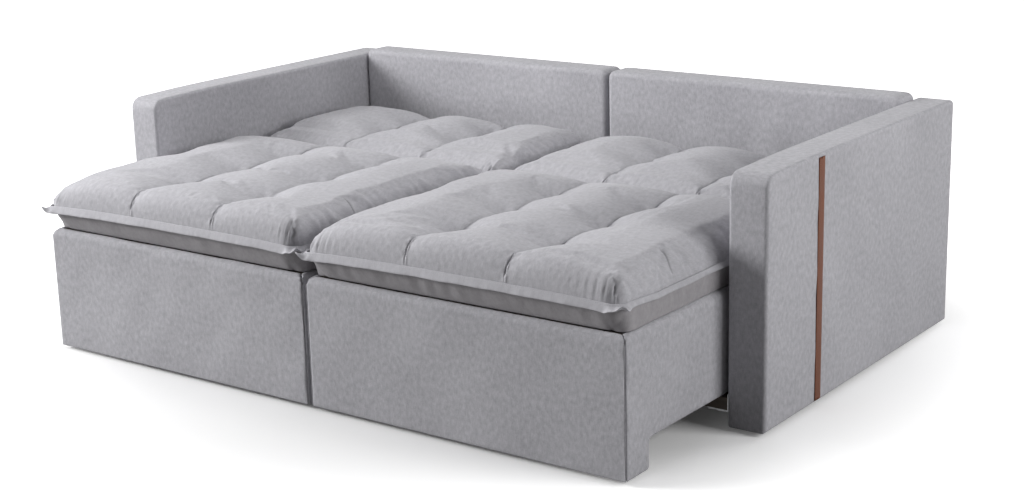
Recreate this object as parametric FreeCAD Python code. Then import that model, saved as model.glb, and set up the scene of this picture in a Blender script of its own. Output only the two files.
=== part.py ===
import FreeCAD, Part
import math
import os

# Sofa bed, shown as a bed: two seat modules slide out between two slab arms,
# and the back pads lie folded flat behind the seat pads.
# Millimetres. +Z is up and the user's side faces -Y.
# The origin is on the floor, in the middle of the width and the depth.

# Arms and back panels
overall_width = 2200.0
arm_thickness = 110.0
arm_depth = 1115.0
arm_height = 666.0
arm_front_radius = 36.0
arm_rear_radius = 12.0
arm_edge_radius = 7.0
glide_height = 10.0
glide_radius = 20.0
glide_inset = 70.0
back_height = 683.0
back_bottom = 40.0
back_thickness = 110.0
back_face_depth = 985.0
back_corner_radius = 22.0
back_edge_radius = 16.0
panel_gap = 5.0
cover_wall = 14.0
frame_rail = 40.0
frame_post_count = 4
strap_width = 32.0
strap_thickness = 2.0
strap_depth = 279.0
strap_end_inset = 8.0

# Beams, tracks and shelves between the arms
beam_bottom = 48.0
beam_height = 32.0
beam_width = 70.0
beam_inset = 12.0
hanger_thickness = 4.0
hanger_leaf = 60.0
hanger_rise = 46.0
bolt_head_radius = 9.0
bolt_head_height = 5.0
bolt_spacing = 36.0
track_width = 34.0
track_height = 25.0
track_wall = 3.0
shelf_width = 460.0
shelf_thickness = 30.0
shelf_bracket_width = 40.0
shelf_bracket_drop = 90.0
shelf_bracket_reach = 150.0
shelf_bracket_thickness = 5.0
shelf_bracket_spread = 150.0

# Seat modules
module_gap = 10.0
arm_gap = 13.0
seat_reach = 443.0
base_height = 362.0
floor_gap = 10.0
front_box_depth = 104.0
side_clearance = 86.0
panel_thickness = 24.0
base_top_radius = 20.0
leg_radius = 6.0
side_rail_width = 40.0
lower_rail_bottom = 125.0
rail_height = 40.0
cross_rail_thickness = 24.0
rear_rail_height = 120.0
kickboard_thickness = 12.0
webbing_thickness = 2.0
webbing_width = 50.0
long_webbing_count = 6
cross_webbing_count = 5

# Wheels and rollers
wheel_radius = 25.0
wheel_width = 20.0
wheel_inset = 27.0
roller_radius = 18.0
roller_width = 14.0
roller_inset = 50.0
roller_clearance = 0.3
wheel_axle_radius = 4.0
axle_clearance = 0.05
tread_chamfer = 3.0
fork_plate = 2.5
fork_gap = 0.5
fork_length = 30.0
fork_toe = 0.4

# Motion: the seat slides in while the back pad swings up on its hinge
slide_travel = 340.0
back_tilt = 82.0
swing_clearance = 7.0

# Pads
crease_depth = 397.0
crease_gap = 5.0
pad_overhang = 27.0
hem_side = 3.0
hem_thickness = 4.0
hem_corner = 30.0
hem_lip = 13.0
core_height = 74.0
core_lip = 8.0
core_taper = 22.0
core_corner = 50.0
pillow_crown = 94.0
pillow_valley = 69.0
lobe_facets = 8
side_facets = 3
tuft_depth = 16.0
tuft_crown_drop = 7.0
front_roll = 48.0
first_tuft = 208.0
tuft_pitch = 212.0
seat_tuft_count = 3
back_tuft_count = 2
pillow_draw = 34.0
pad_lift = 3.0
rest_gap = 0.3

# Back pad hinge and board
pivot_rise = 45.0
nose_radius = 88.0
nose_clearance = 5.0
nose_end = 112.0
shoulder_length = 60.0
hinge_spread = 330.0
hinge_arm_thickness = 6.0
hinge_arm_half_width = 11.0
hinge_foot_width = 50.0
hinge_foot_height = 60.0
hinge_eye_radius = 12.0
hinge_side_gap = 0.5
hinge_pin_radius = 5.0
pin_fit = 0.03
pin_head_radius = 8.0
pin_head_thickness = 2.5
bracket_cheek = 5.0
bracket_strap_width = 40.0
bracket_strap_length = 132.0
bracket_strap_thickness = 4.0
bracket_cheek_length = 70.0
pocket_gap = 2.0
board_thickness = 12.0
board_inset = 60.0
board_start = 20.0
bearer_width = 40.0
bearer_length = 400.0
bearer_drop = 50.0
bearer_setback = 100.0

# Places worked out from the sizes above
V = FreeCAD.Vector
overall_depth = seat_reach + pad_overhang + arm_depth
arm_front = pad_overhang + seat_reach - overall_depth / 2
arm_rear = arm_front + arm_depth
arm_inner = overall_width / 2 - arm_thickness
back_face = arm_front + back_face_depth
beam_top = beam_bottom + beam_height
seat_front = arm_front - seat_reach
module_width = arm_inner - arm_gap - module_gap / 2
crease = arm_front + crease_depth
pad_front = seat_front - pad_overhang
pad_bottom = base_height + pad_lift
pivot_y = crease + nose_radius
pivot_z = pad_bottom + pivot_rise
hem_bottom = base_height + core_height
pillow_base = hem_bottom + hem_thickness
rail_top = base_height - 2 * webbing_thickness


def circle_reach(radius, height):
    """Half the width of a circle at a height above or below its centre."""
    return math.sqrt(radius**2 - height**2)


def swing_room(reach):
    """How far the pad's rear end passes its bed place while the pad swings up and the seat slides in."""
    slide_per_radian = slide_travel / math.radians(back_tilt)
    furthest = math.asin(min(1.0, slide_per_radian / reach))
    return slide_per_radian * furthest - reach * (1 - math.cos(furthest))


# The back pad is as long as its swing leaves room for in front of the back panel
pad_reach = back_face - pivot_y
for _ in range(30):
    pad_reach = back_face - pivot_y - swing_clearance - swing_room(pad_reach)
pad_rear = pivot_y + pad_reach
base_rear = pivot_y - circle_reach(nose_radius, pivot_z - base_height) - nose_clearance
bearer_rear = pad_rear - bearer_setback
shelf_top = pad_bottom - bearer_drop - rest_gap
shelf_front = base_rear + slide_travel + nose_clearance


def box(x, y, z):
    """A block between pairs of limits."""
    return Part.makeBox(x[1] - x[0], y[1] - y[0], z[1] - z[0], V(x[0], y[0], z[0]))


def rod_x(x, y, z, radius):
    """A round bar along X between a pair of limits."""
    return Part.makeCylinder(radius, x[1] - x[0], V(x[0], y, z), V(1, 0, 0))


def rod_z(x, y, z, radius):
    """An upright round bar between a pair of limits."""
    return Part.makeCylinder(radius, z[1] - z[0], V(x, y, z[0]))


def rounded_wire(corners, place):
    """A closed outline through (a, b, radius) corners, with an arc at each corner that has a radius."""
    edges = []
    last = None
    first = None
    count = len(corners)
    for i, (a, b, radius) in enumerate(corners):
        corner = place(a, b)
        before = place(*corners[i - 1][:2]) - corner
        after = place(*corners[(i + 1) % count][:2]) - corner
        before.normalize()
        after.normalize()
        half = before.getAngle(after) / 2
        start = corner + before * (radius / math.tan(half))
        end = corner + after * (radius / math.tan(half))
        if last is not None:
            edges.append(Part.LineSegment(last, start).toShape())
        if radius:
            inward = before + after
            inward.normalize()
            middle = corner + inward * (radius / math.sin(half) - radius)
            edges.append(Part.Arc(start, middle, end).toShape())
        if first is None:
            first = start
        last = end
    edges.append(Part.LineSegment(last, first).toShape())
    return Part.Wire(edges)


def slab_x(corners, x):
    """Side outline of (y, z, radius) corners, as thick as a pair of X limits."""
    wire = rounded_wire(corners, lambda a, b: V(x[0], a, b))
    return Part.Face(wire).extrude(V(x[1] - x[0], 0, 0))


def slab_y(corners, y):
    """Front outline of (x, z, radius) corners, as thick as a pair of Y limits."""
    wire = rounded_wire(corners, lambda a, b: V(a, y[0], b))
    return Part.Face(wire).extrude(V(0, y[1] - y[0], 0))


def slab_z(corners, z):
    """Plan outline of (x, y, radius) corners, as thick as a pair of Z limits."""
    wire = rounded_wire(corners, lambda a, b: V(a, b, z[0]))
    return Part.Face(wire).extrude(V(0, 0, z[1] - z[0]))


def plan(x, y, radius):
    """Corners of a rounded rectangle in plan."""
    return [(x[0], y[0], radius), (x[1], y[0], radius), (x[1], y[1], radius), (x[0], y[1], radius)]


def edges_at(shape, axis, value):
    """The edges that lie wholly in one plane across an axis (0, 1 or 2)."""
    found = []
    for edge in shape.Edges:
        limits = edge.BoundBox
        low = (limits.XMin, limits.YMin, limits.ZMin)[axis]
        high = (limits.XMax, limits.YMax, limits.ZMax)[axis]
        if abs(low - value) < 0.01 and abs(high - value) < 0.01:
            found.append(edge)
    return found


def ordered(a, b):
    """Two limits, the lower first."""
    return (min(a, b), max(a, b))


def save(name, shapes):
    """Writes one node from its separate solids."""
    solids = [solid for shape in shapes for solid in shape.Solids]
    Part.makeCompound(solids).exportStep(f"parts/{name}.step")


def arm_cover(side):
    """Slab arm: padded cover with a rounded outline, open underneath for its frame."""
    x = ordered(side * arm_inner, side * overall_width / 2)
    outline = [
        (arm_front, glide_height, 0),
        (arm_rear, glide_height, 0),
        (arm_rear, arm_height, arm_rear_radius),
        (arm_front, arm_height, arm_front_radius),
    ]
    cover = slab_x(outline, x)
    edges = edges_at(cover, 0, x[0]) + edges_at(cover, 0, x[1])
    cover = cover.makeFillet(arm_edge_radius, [edge for edge in edges if edge.BoundBox.ZMax > glide_height + 1])
    inside = arm_inside(side)
    hollow = box(inside[0], inside[1], (glide_height - 1, inside[2][1]))
    return cover.cut(hollow)


def arm_inside(side):
    """Limits of the space for the frame inside an arm."""
    inner = arm_inner + cover_wall
    outer = overall_width / 2 - cover_wall
    x = ordered(side * inner, side * outer)
    return x, (arm_front + cover_wall, arm_rear - cover_wall), (glide_height, arm_height - cover_wall)


def ladder_frame(x, y, z, along):
    """Top and bottom rails with end posts and middle posts between them, run along axis 0 or 1."""
    rails = [box(x, y, (z[0], z[0] + frame_rail)), box(x, y, (z[1] - frame_rail, z[1]))]
    run = (x, y)[along]
    step = (run[1] - run[0] - frame_rail) / (frame_post_count - 1)
    for i in range(frame_post_count):
        start = run[0] + i * step
        limits = [x, y]
        limits[along] = (start, start + frame_rail)
        rails.append(box(limits[0], limits[1], (z[0] + frame_rail, z[1] - frame_rail)))
    return rails


def arm_strap(side):
    """Leather strap stretched down the arm's outer face."""
    face = side * overall_width / 2
    x = ordered(face, face + side * strap_thickness)
    middle = arm_front + strap_depth
    z = (glide_height + strap_end_inset, arm_height - strap_end_inset)
    return box(x, (middle - strap_width / 2, middle + strap_width / 2), z)


def back_limits(side):
    """Limits of one back panel."""
    x = ordered(side * panel_gap / 2, side * arm_inner)
    return x, (back_face, back_face + back_thickness), (back_bottom, back_height)


def back_cover(side):
    """Upholstered back panel: padded cover, open underneath for its frame."""
    x, y, z = back_limits(side)
    outline = [
        (x[0], z[0], 0),
        (x[1], z[0], 0),
        (x[1], z[1], back_corner_radius),
        (x[0], z[1], back_corner_radius),
    ]
    cover = slab_y(outline, y)
    edges = edges_at(cover, 1, y[0]) + edges_at(cover, 1, y[1])
    edges = [edge for edge in edges if edge.BoundBox.ZMax > z[0] + 1]
    cover = cover.makeFillet(back_edge_radius, edges)
    inside = back_inside(side)
    hollow = box(inside[0], inside[1], (z[0] - 1, inside[2][1]))
    return cover.cut(hollow)


def back_inside(side):
    """Limits of the space for the frame inside a back panel."""
    x, y, z = back_limits(side)
    return (
        (x[0] + cover_wall, x[1] - cover_wall),
        (y[0] + cover_wall, y[1] - cover_wall),
        (z[0], z[1] - cover_wall),
    )


def beam_places():
    """Depth limits of the front and rear beams."""
    front = arm_front + beam_inset
    return [(front, front + beam_width), (back_face - beam_width, back_face)]


def crossbeams():
    """Timber beams from hanger to hanger, laid flat near the floor."""
    end = arm_inner - hanger_thickness
    return [box((-end, end), y, (beam_bottom, beam_top)) for y in beam_places()]


def beam_hangers():
    """Steel angles on the arms' inner faces that the beams' ends lie in."""
    hangers = []
    bottom = beam_bottom - hanger_thickness
    for side in (-1, 1):
        for y in beam_places():
            leaf_x = ordered(side * arm_inner, side * (arm_inner - hanger_leaf))
            leaf = box(leaf_x, y, (bottom, beam_bottom))
            plate_x = ordered(side * arm_inner, side * (arm_inner - hanger_thickness))
            plate = box(plate_x, y, (bottom, bottom + hanger_rise))
            hangers.append(leaf.fuse(plate).removeSplitter())
    return hangers


def beam_bolts():
    """Hexagon bolt heads under each hanger."""
    bolts = []
    bottom = beam_bottom - hanger_thickness - bolt_head_height
    for side in (-1, 1):
        x = side * (arm_inner - hanger_leaf / 2)
        for y in beam_places():
            middle = (y[0] + y[1]) / 2
            for offset in (-bolt_spacing / 2, bolt_spacing / 2):
                hexagon = Part.makePolygon(hexagon_corners(x, middle + offset, bottom, bolt_head_radius))
                bolts.append(Part.Face(hexagon).extrude(V(0, 0, bolt_head_height)))
    return bolts


def hexagon_corners(x, y, z, radius):
    """The six corners of a hexagon in plan, and the first again."""
    angles = [math.radians(60 * i) for i in range(7)]
    return [V(x + radius * math.cos(a), y + radius * math.sin(a), z) for a in angles]


def glides():
    """Plastic feet under the arms and tall ones under the middle of each beam."""
    feet = []
    for side in (-1, 1):
        x = side * (overall_width / 2 - arm_thickness / 2)
        for y in (arm_front + glide_inset, arm_rear - glide_inset):
            feet.append(rod_z(x, y, (0, glide_height), glide_radius))
    for y in beam_places():
        feet.append(rod_z(0, (y[0] + y[1]) / 2, (0, beam_bottom), glide_radius))
    return feet


def module_x(side):
    """Width limits of one seat module."""
    return ordered(side * module_gap / 2, side * (module_gap / 2 + module_width))


def rail_lines(side):
    """X of the middle of the two side rails, over which the wheels and tracks are centred."""
    x = module_x(side)
    offset = panel_thickness + side_rail_width / 2
    return (x[0] + offset, x[1] - offset)


def seat_tracks(side):
    """Two steel channels, open at the top, that the rear rollers run in."""
    tracks = []
    y = (beam_places()[0][0], back_face)
    for x in rail_lines(side):
        outer = box((x - track_width / 2, x + track_width / 2), y, (beam_top, beam_top + track_height))
        half = track_width / 2 - track_wall
        trough = box((x - half, x + half), y, (beam_top + track_wall, beam_top + track_height + 1))
        tracks.append(outer.cut(trough))
    return tracks


def back_shelf(side):
    """Timber rail on the back panel that the flat back pad's bearer rests on."""
    middle = sum(module_x(side)) / 2
    x = (middle - shelf_width / 2, middle + shelf_width / 2)
    return box(x, (shelf_front, back_face), (shelf_top - shelf_thickness, shelf_top))


def shelf_brackets():
    """Steel angle brackets under the shelves, two to a shelf, each with a sloping web."""
    brackets = []
    top = shelf_top - shelf_thickness
    reach = min(shelf_bracket_reach, back_face - shelf_front)
    for side in (-1, 1):
        middle = sum(module_x(side)) / 2
        for x in (middle - shelf_bracket_spread, middle + shelf_bracket_spread):
            half = shelf_bracket_width / 2
            leaf = box((x - half, x + half), (back_face - reach, back_face), (top - shelf_bracket_thickness, top))
            plate_y = (back_face - shelf_bracket_thickness, back_face)
            plate = box((x - half, x + half), plate_y, (top - shelf_bracket_drop, top))
            web_x = (x - shelf_bracket_thickness / 2, x + shelf_bracket_thickness / 2)
            web = [
                (back_face - reach, top - shelf_bracket_thickness, 0),
                (back_face - shelf_bracket_thickness, top - shelf_bracket_drop, 0),
                (back_face - shelf_bracket_thickness, top - shelf_bracket_thickness, 0),
            ]
            brackets.append(leaf.fuse([plate, slab_x(web, web_x)]).removeSplitter())
    return brackets


def seat_front_panel(side):
    """Upholstered front board with a rounded top edge and mitred ends."""
    x = module_x(side)
    rear = seat_front + panel_thickness
    outline = [
        (seat_front, floor_gap, 0),
        (rear, floor_gap, 0),
        (rear, base_height, 0),
        (seat_front, base_height, base_top_radius),
    ]
    panel = slab_x(outline, x)
    for end, inward in ((x[0], panel_thickness), (x[1], -panel_thickness)):
        wedge = [(end, seat_front, 0), (end + inward, rear, 0), (end, rear, 0)]
        panel = panel.cut(slab_z(wedge, (floor_gap - 1, base_height + 1)))
    return panel


def seat_side_panels(side):
    """Upholstered side boards: each runs down to a leg at the front and is mitred to the front board."""
    x = module_x(side)
    panels = []
    leg_rear = seat_front + front_box_depth
    outline = [
        (seat_front, floor_gap, 0),
        (leg_rear, floor_gap, leg_radius),
        (leg_rear, side_clearance, leg_radius),
        (base_rear, side_clearance, 0),
        (base_rear, base_height, 0),
        (seat_front, base_height, 0),
    ]
    for outer, inward in ((x[0], panel_thickness), (x[1], -panel_thickness)):
        panel = slab_x(outline, ordered(outer, outer + inward))
        rim = [edge for edge in edges_at(panel, 0, outer) if edge.BoundBox.ZMin > base_height - 1]
        panel = panel.makeFillet(base_top_radius, rim)
        mitre = [
            (outer, seat_front, 0),
            (outer + inward, seat_front, 0),
            (outer + inward, seat_front + panel_thickness, 0),
        ]
        panels.append(panel.cut(slab_z(mitre, (floor_gap - 1, base_height + 1))))
    return panels


def seat_frame(side):
    """Timber frame of the box: side rails, posts, cross rails, middle stretcher and kickboard."""
    x = module_x(side)
    inner = (x[0] + panel_thickness, x[1] - panel_thickness)
    front = seat_front + panel_thickness
    rear = base_rear - cross_rail_thickness
    upper = (rail_top - rail_height, rail_top)
    lower = (lower_rail_bottom, lower_rail_bottom + rail_height)
    pieces = []
    for start in (inner[0], inner[1] - side_rail_width):
        rail_x = (start, start + side_rail_width)
        pieces.append(box(rail_x, (front, rear), lower))
        pieces.append(box(rail_x, (front, rear), upper))
        for post_y in ((front, front + side_rail_width), (rear - side_rail_width, rear)):
            pieces.append(box(rail_x, post_y, (lower[1], upper[0])))
    between = (inner[0] + side_rail_width, inner[1] - side_rail_width)
    pieces.append(box(between, (front, front + cross_rail_thickness), upper))
    pieces.append(box(inner, (rear, base_rear), (rail_top - rear_rail_height, rail_top)))
    middle = sum(x) / 2
    stretcher = (middle - side_rail_width / 2, middle + side_rail_width / 2)
    pieces.append(box(stretcher, (front + cross_rail_thickness, rear), upper))
    kick_rear = seat_front + front_box_depth
    pieces.append(box(inner, (kick_rear - kickboard_thickness, kick_rear), (floor_gap, lower_rail_bottom)))
    return pieces


def spread(limits, count, width):
    """Start and end of strips spaced evenly between two limits."""
    pitch = (limits[1] - limits[0]) / count
    return [(limits[0] + (i + 0.5) * pitch - width / 2, limits[0] + (i + 0.5) * pitch + width / 2) for i in range(count)]


def seat_webbing(side):
    """Elastic webbing over the frame, lengthways strips under crossways ones."""
    x = module_x(side)
    inner = (x[0] + panel_thickness, x[1] - panel_thickness)
    run = (seat_front + panel_thickness, base_rear)
    lower = (rail_top, rail_top + webbing_thickness)
    upper = (lower[1], lower[1] + webbing_thickness)
    strips = [box(strip, run, lower) for strip in spread(inner, long_webbing_count, webbing_width)]
    strips += [box(inner, strip, upper) for strip in spread(run, cross_webbing_count, webbing_width)]
    return strips


def hem_x(side):
    """Width limits of the hem, a little wider than the module."""
    x = module_x(side)
    return (x[0] - hem_side, x[1] + hem_side)


def tapered_block(x, y, z, taper, corner):
    """A cushion block that narrows by a taper on every side from its top to its bottom."""
    low = plan((x[0] + taper, x[1] - taper), (y[0] + taper, y[1] - taper), corner)
    high = plan(x, y, corner)
    wires = [rounded_wire(corners, lambda a, b, h=h: V(a, b, h)) for corners, h in ((low, z[0]), (high, z[1]))]
    return Part.makeLoft(wires, True, True)


def seat_core(side):
    """Lower cushion of the seat pad, drawn in towards its bottom."""
    x = hem_x(side)
    inset = core_lip + hem_side
    y = (pad_front + hem_lip, crease - crease_gap)
    return tapered_block((x[0] + inset, x[1] - inset), y, (base_height, hem_bottom), core_taper, core_corner)


def seat_hem(side):
    """Flat sewn hem of the seat pad, between the lower cushion and the pillow."""
    y = (pad_front, crease - crease_gap)
    return slab_z(plan(hem_x(side), y, hem_corner), (hem_bottom, pillow_base))


def pillow_section(middle, half_width, y, crown, valley):
    """Cross-section of a three-channel pillow: flat underside, rounded sides and three crowned lobes, in facets."""
    def at(x, height):
        return V(middle + x, y, pillow_base + height)

    seam = half_width / 3
    shoulder = half_width - 0.42 * crown
    shoulder_height = 0.72 * crown
    side_middle = half_width - 0.09 * crown
    lobe_middle = (seam + shoulder) / 2
    right = Part.Arc(at(half_width, 0), at(side_middle, 0.45 * crown), at(shoulder, shoulder_height))
    right_lobe = Part.Arc(at(shoulder, shoulder_height), at(lobe_middle, crown), at(seam, valley))
    middle_lobe = Part.Arc(at(seam, valley), at(0, crown), at(-seam, valley))
    left_lobe = Part.Arc(at(-seam, valley), at(-lobe_middle, crown), at(-shoulder, shoulder_height))
    left = Part.Arc(at(-shoulder, shoulder_height), at(-side_middle, 0.45 * crown), at(-half_width, 0))
    points = [at(-half_width, 0)]
    for curve, facets in ((right, side_facets), (right_lobe, lobe_facets), (middle_lobe, lobe_facets),
                          (left_lobe, lobe_facets), (left, side_facets)):
        points += curve.toShape().discretize(facets + 1)[:-1]
    return Part.makePolygon(points + [points[0]])


def pillow(side, stations):
    """A pillow lofted through (y, swell, tuft) stations: swell scales its height, a tuft pulls its seams down."""
    x = hem_x(side)
    middle = sum(x) / 2
    full = (x[1] - x[0]) / 2 - hem_lip
    wires = []
    for y, swell, tuft in stations:
        crown = swell * (pillow_crown - tuft * tuft_crown_drop)
        valley = swell * (pillow_valley - tuft * tuft_depth)
        wires.append(pillow_section(middle, full - (1 - swell) * pillow_draw, y, crown, valley))
    return Part.makeLoft(wires, True, True).removeSplitter()


def seat_stations():
    """Seat pillow: steep front roll, rows of tufts, and a slope down to the crease."""
    front = pad_front + hem_lip
    rear = crease - crease_gap
    stations = [(front, 0.36, 0), (front + 0.3 * front_roll, 0.68, 0), (front + front_roll, 0.93, 0)]
    stations.append((front + (first_tuft + front_roll) / 2, 1.0, 0))
    for row in range(seat_tuft_count):
        y = front + first_tuft + row * tuft_pitch
        stations.append((y, 1.0, 1))
        if row < seat_tuft_count - 1:
            stations.append((y + tuft_pitch / 2, 1.0, 0))
    last = stations[-1][0]
    for share, swell in ((0.3, 0.96), (0.62, 0.78), (0.87, 0.5), (1.0, 0.24)):
        stations.append((last + share * (rear - last), swell, 0))
    return stations


def back_stations():
    """Back pillow: a round nose about the hinge, a shoulder behind it, rows of tufts and a rounded rear end."""
    stations = []
    lift = pillow_base - pivot_z
    start = math.degrees(math.asin(lift / nose_radius)) + 5
    for share in (0.0, 0.33, 0.67, 1.0):
        angle = math.radians(start + share * (nose_end - start))
        height = nose_radius * math.sin(angle) - lift
        stations.append((pivot_y - nose_radius * math.cos(angle), height / pillow_crown, 0))
    nose_rear = stations[-1][0]
    for share, swell in ((0.35, 0.73), (0.65, 0.9), (1.0, 0.98)):
        stations.append((nose_rear + share * shoulder_length, swell, 0))
    shoulder = stations[-1][0]
    rear = pad_rear - hem_lip
    pitch = (rear - shoulder) / (back_tuft_count + 0.2)
    for row in range(back_tuft_count):
        stations.append((shoulder + (row + 0.5) * pitch, 0.98, 1))
        stations.append((shoulder + (row + 1) * pitch, 1.0 - 0.04 * row, 0))
    stations.append(((stations[-1][0] + rear) / 2, 0.78, 0))
    stations.append((rear, 0.36, 0))
    return stations


def hinge_x(side):
    """X of the two hinges of one module."""
    middle = sum(module_x(side)) / 2
    return (middle - hinge_spread, middle + hinge_spread)


def back_core(side):
    """Lower cushion of the back pad: a round nose about the hinge, with pockets for the hinges and the board."""
    x = hem_x(side)
    inset = core_lip + hem_side
    x = (x[0] + inset, x[1] - inset)
    top = hem_bottom - pivot_z
    bottom = pad_bottom - pivot_z

    def at(u, v):
        return V(x[0], pivot_y + u, pivot_z + v)

    nose_top = at(-circle_reach(nose_radius, top), top)
    nose_bottom = at(-circle_reach(nose_radius, bottom), bottom)
    edges = [
        Part.Arc(nose_top, at(-nose_radius, 0), nose_bottom).toShape(),
        Part.LineSegment(nose_bottom, at(pad_reach, bottom)).toShape(),
        Part.LineSegment(at(pad_reach, bottom), at(pad_reach, top)).toShape(),
        Part.LineSegment(at(pad_reach, top), nose_top).toShape(),
    ]
    block = Part.Face(Part.Wire(edges)).extrude(V(x[1] - x[0], 0, 0))
    front = pivot_y - nose_radius - core_corner - core_taper
    y = (front, pad_rear - hem_lip)
    core = block.common(tapered_block(x, y, (pad_bottom, hem_bottom), core_taper, core_corner))
    hollows = [board_block(side, pocket_gap), bearer_block(side, pocket_gap)]
    for middle in hinge_x(side):
        hollows.append(hinge_pocket(middle))
        hollows.append(hinge_slot(middle))
    return core.cut(hollows)


def hinge_pocket(middle):
    """Room in the lower cushion for one hinge bracket."""
    half = bracket_strap_width / 2 + pocket_gap
    front = pivot_y - hinge_eye_radius - 2 * pocket_gap
    rear = pivot_y + board_start + bracket_strap_length + pocket_gap
    z = (pivot_z - hinge_eye_radius - pocket_gap, hem_bottom)
    return box((middle - half, middle + half), (front, rear), z)


def hinge_slot(middle):
    """Slot in the lower front of the cushion for the fixed hinge arm to swing through."""
    half = hinge_arm_thickness / 2 + pocket_gap
    y = (pivot_y - 2 * nose_radius, pivot_y + hinge_arm_half_width + pocket_gap)
    z = (pad_bottom - 1, pivot_z + hinge_eye_radius + pocket_gap)
    return box((middle - half, middle + half), y, z)


def back_hem(side):
    """Flat sewn hem of the back pad."""
    front = pivot_y - circle_reach(nose_radius, pillow_base - pivot_z)
    return slab_z(plan(hem_x(side), (front, pad_rear), hem_corner), (hem_bottom, pillow_base))


def board_block(side, gap):
    """The plywood board's space, wider by a gap on its sides."""
    x = hem_x(side)
    x = (x[0] + board_inset - gap, x[1] - board_inset + gap)
    y = (pivot_y + board_start - gap, pad_rear - board_inset + gap)
    return box(x, y, (hem_bottom - board_thickness, hem_bottom))


def bearer_block(side, gap):
    """The bearer rail's space under the board, wider by a gap on its sides."""
    middle = sum(module_x(side)) / 2
    half = bearer_length / 2 + gap
    y = (bearer_rear - bearer_width - gap, bearer_rear + gap)
    return box((middle - half, middle + half), y, (pad_bottom - bearer_drop, hem_bottom - board_thickness))


def hinge_bracket(middle):
    """Steel fork under the board: a strap with two cheeks that hold the hinge pin."""
    top = hem_bottom - board_thickness
    half = bracket_strap_width / 2
    y = (pivot_y + board_start, pivot_y + board_start + bracket_strap_length)
    bracket = box((middle - half, middle + half), y, (top - bracket_strap_thickness, top))
    inner = hinge_arm_thickness / 2 + hinge_side_gap
    bottom = pivot_z - hinge_eye_radius
    front = pivot_y - hinge_eye_radius
    outline = [
        (front, bottom, hinge_eye_radius - 1),
        (pivot_y + bracket_cheek_length, bottom, 0),
        (pivot_y + bracket_cheek_length, top - bracket_strap_thickness, 0),
        (front, top - bracket_strap_thickness, 0),
    ]
    for start in (middle - inner - bracket_cheek, middle + inner):
        bracket = bracket.fuse(slab_x(outline, (start, start + bracket_cheek)))
    hole = rod_x((middle - half, middle + half), pivot_y, pivot_z, hinge_pin_radius + pin_fit)
    return bracket.removeSplitter().cut(hole)


def hinge_pin(middle):
    """Headed pin through both cheeks and the hinge arm."""
    half = hinge_arm_thickness / 2 + hinge_side_gap + bracket_cheek
    pin = rod_x((middle - half, middle + half), pivot_y, pivot_z, hinge_pin_radius)
    head = rod_x((middle + half, middle + half + pin_head_thickness), pivot_y, pivot_z, pin_head_radius)
    return pin.fuse(head).removeSplitter()


def hinge_arm(middle):
    """Steel arm on the rear rail: it passes under the pad's nose and rises to the pin."""
    half = hinge_arm_thickness / 2
    x = (middle - half, middle + half)
    top = pivot_z - nose_radius - nose_clearance
    bottom = top - 3 * hinge_arm_half_width
    reach = pivot_y + hinge_arm_half_width
    leg = (pivot_y - hinge_arm_half_width, reach)
    outline = [
        (base_rear, bottom, 0),
        (reach, bottom, 2 * hinge_arm_half_width - 2),
        (reach, pivot_z, 0),
        (leg[0], pivot_z, 0),
        (leg[0], top, 0),
        (base_rear, top, 0),
    ]
    eye = rod_x(x, pivot_y, pivot_z, hinge_eye_radius)
    foot_half = hinge_foot_width / 2
    foot_y = (base_rear, base_rear + hinge_arm_thickness)
    foot = box((middle - foot_half, middle + foot_half), foot_y, (top - hinge_foot_height, top))
    hole = rod_x(x, pivot_y, pivot_z, hinge_pin_radius + axle_clearance)
    return slab_x(outline, x).fuse([eye, foot]).removeSplitter().cut(hole)


def front_wheel_y():
    """Depth of the castor wheels' axis, just behind the front board."""
    return seat_front + panel_thickness + wheel_inset


def rear_roller_y():
    """Depth of the rear rollers' axis."""
    return base_rear - roller_inset


def roller_z():
    """Height of the rear rollers' axis over the bottom of their track."""
    return beam_top + track_wall + roller_clearance + roller_radius


def wheel(x, y, z, radius, width):
    """A wheel on an X axis with chamfered tread edges and an axle hole."""
    rim = Part.makeCylinder(radius, width, V(x - width / 2, y, z), V(1, 0, 0))
    edges = edges_at(rim, 0, x - width / 2) + edges_at(rim, 0, x + width / 2)
    rim = rim.makeChamfer(tread_chamfer, edges)
    return rim.cut(rod_x((x - width, x + width), y, z, wheel_axle_radius + axle_clearance))


def fork(x, y, z, radius, width):
    """Steel fork under a side rail: a top plate, two tapered cheeks around a wheel, and its riveted axle."""
    inner = width / 2 + fork_gap
    outer = inner + fork_plate
    half = fork_length / 2
    plate_z = (lower_rail_bottom - fork_plate, lower_rail_bottom)
    pieces = [box((x - outer, x + outer), (y - half, y + half), plate_z)]
    toe = fork_toe * radius
    outline = [(y - toe, z - toe, 0), (y + toe, z - toe, 0), (y + half, plate_z[0], 0), (y - half, plate_z[0], 0)]
    for start in (x - outer, x + inner):
        pieces.append(slab_x(outline, (start, start + fork_plate)))
    pieces.append(rod_x((x - outer, x + outer), y, z, wheel_axle_radius))
    return pieces[0].fuse(pieces[1:]).removeSplitter()


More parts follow.
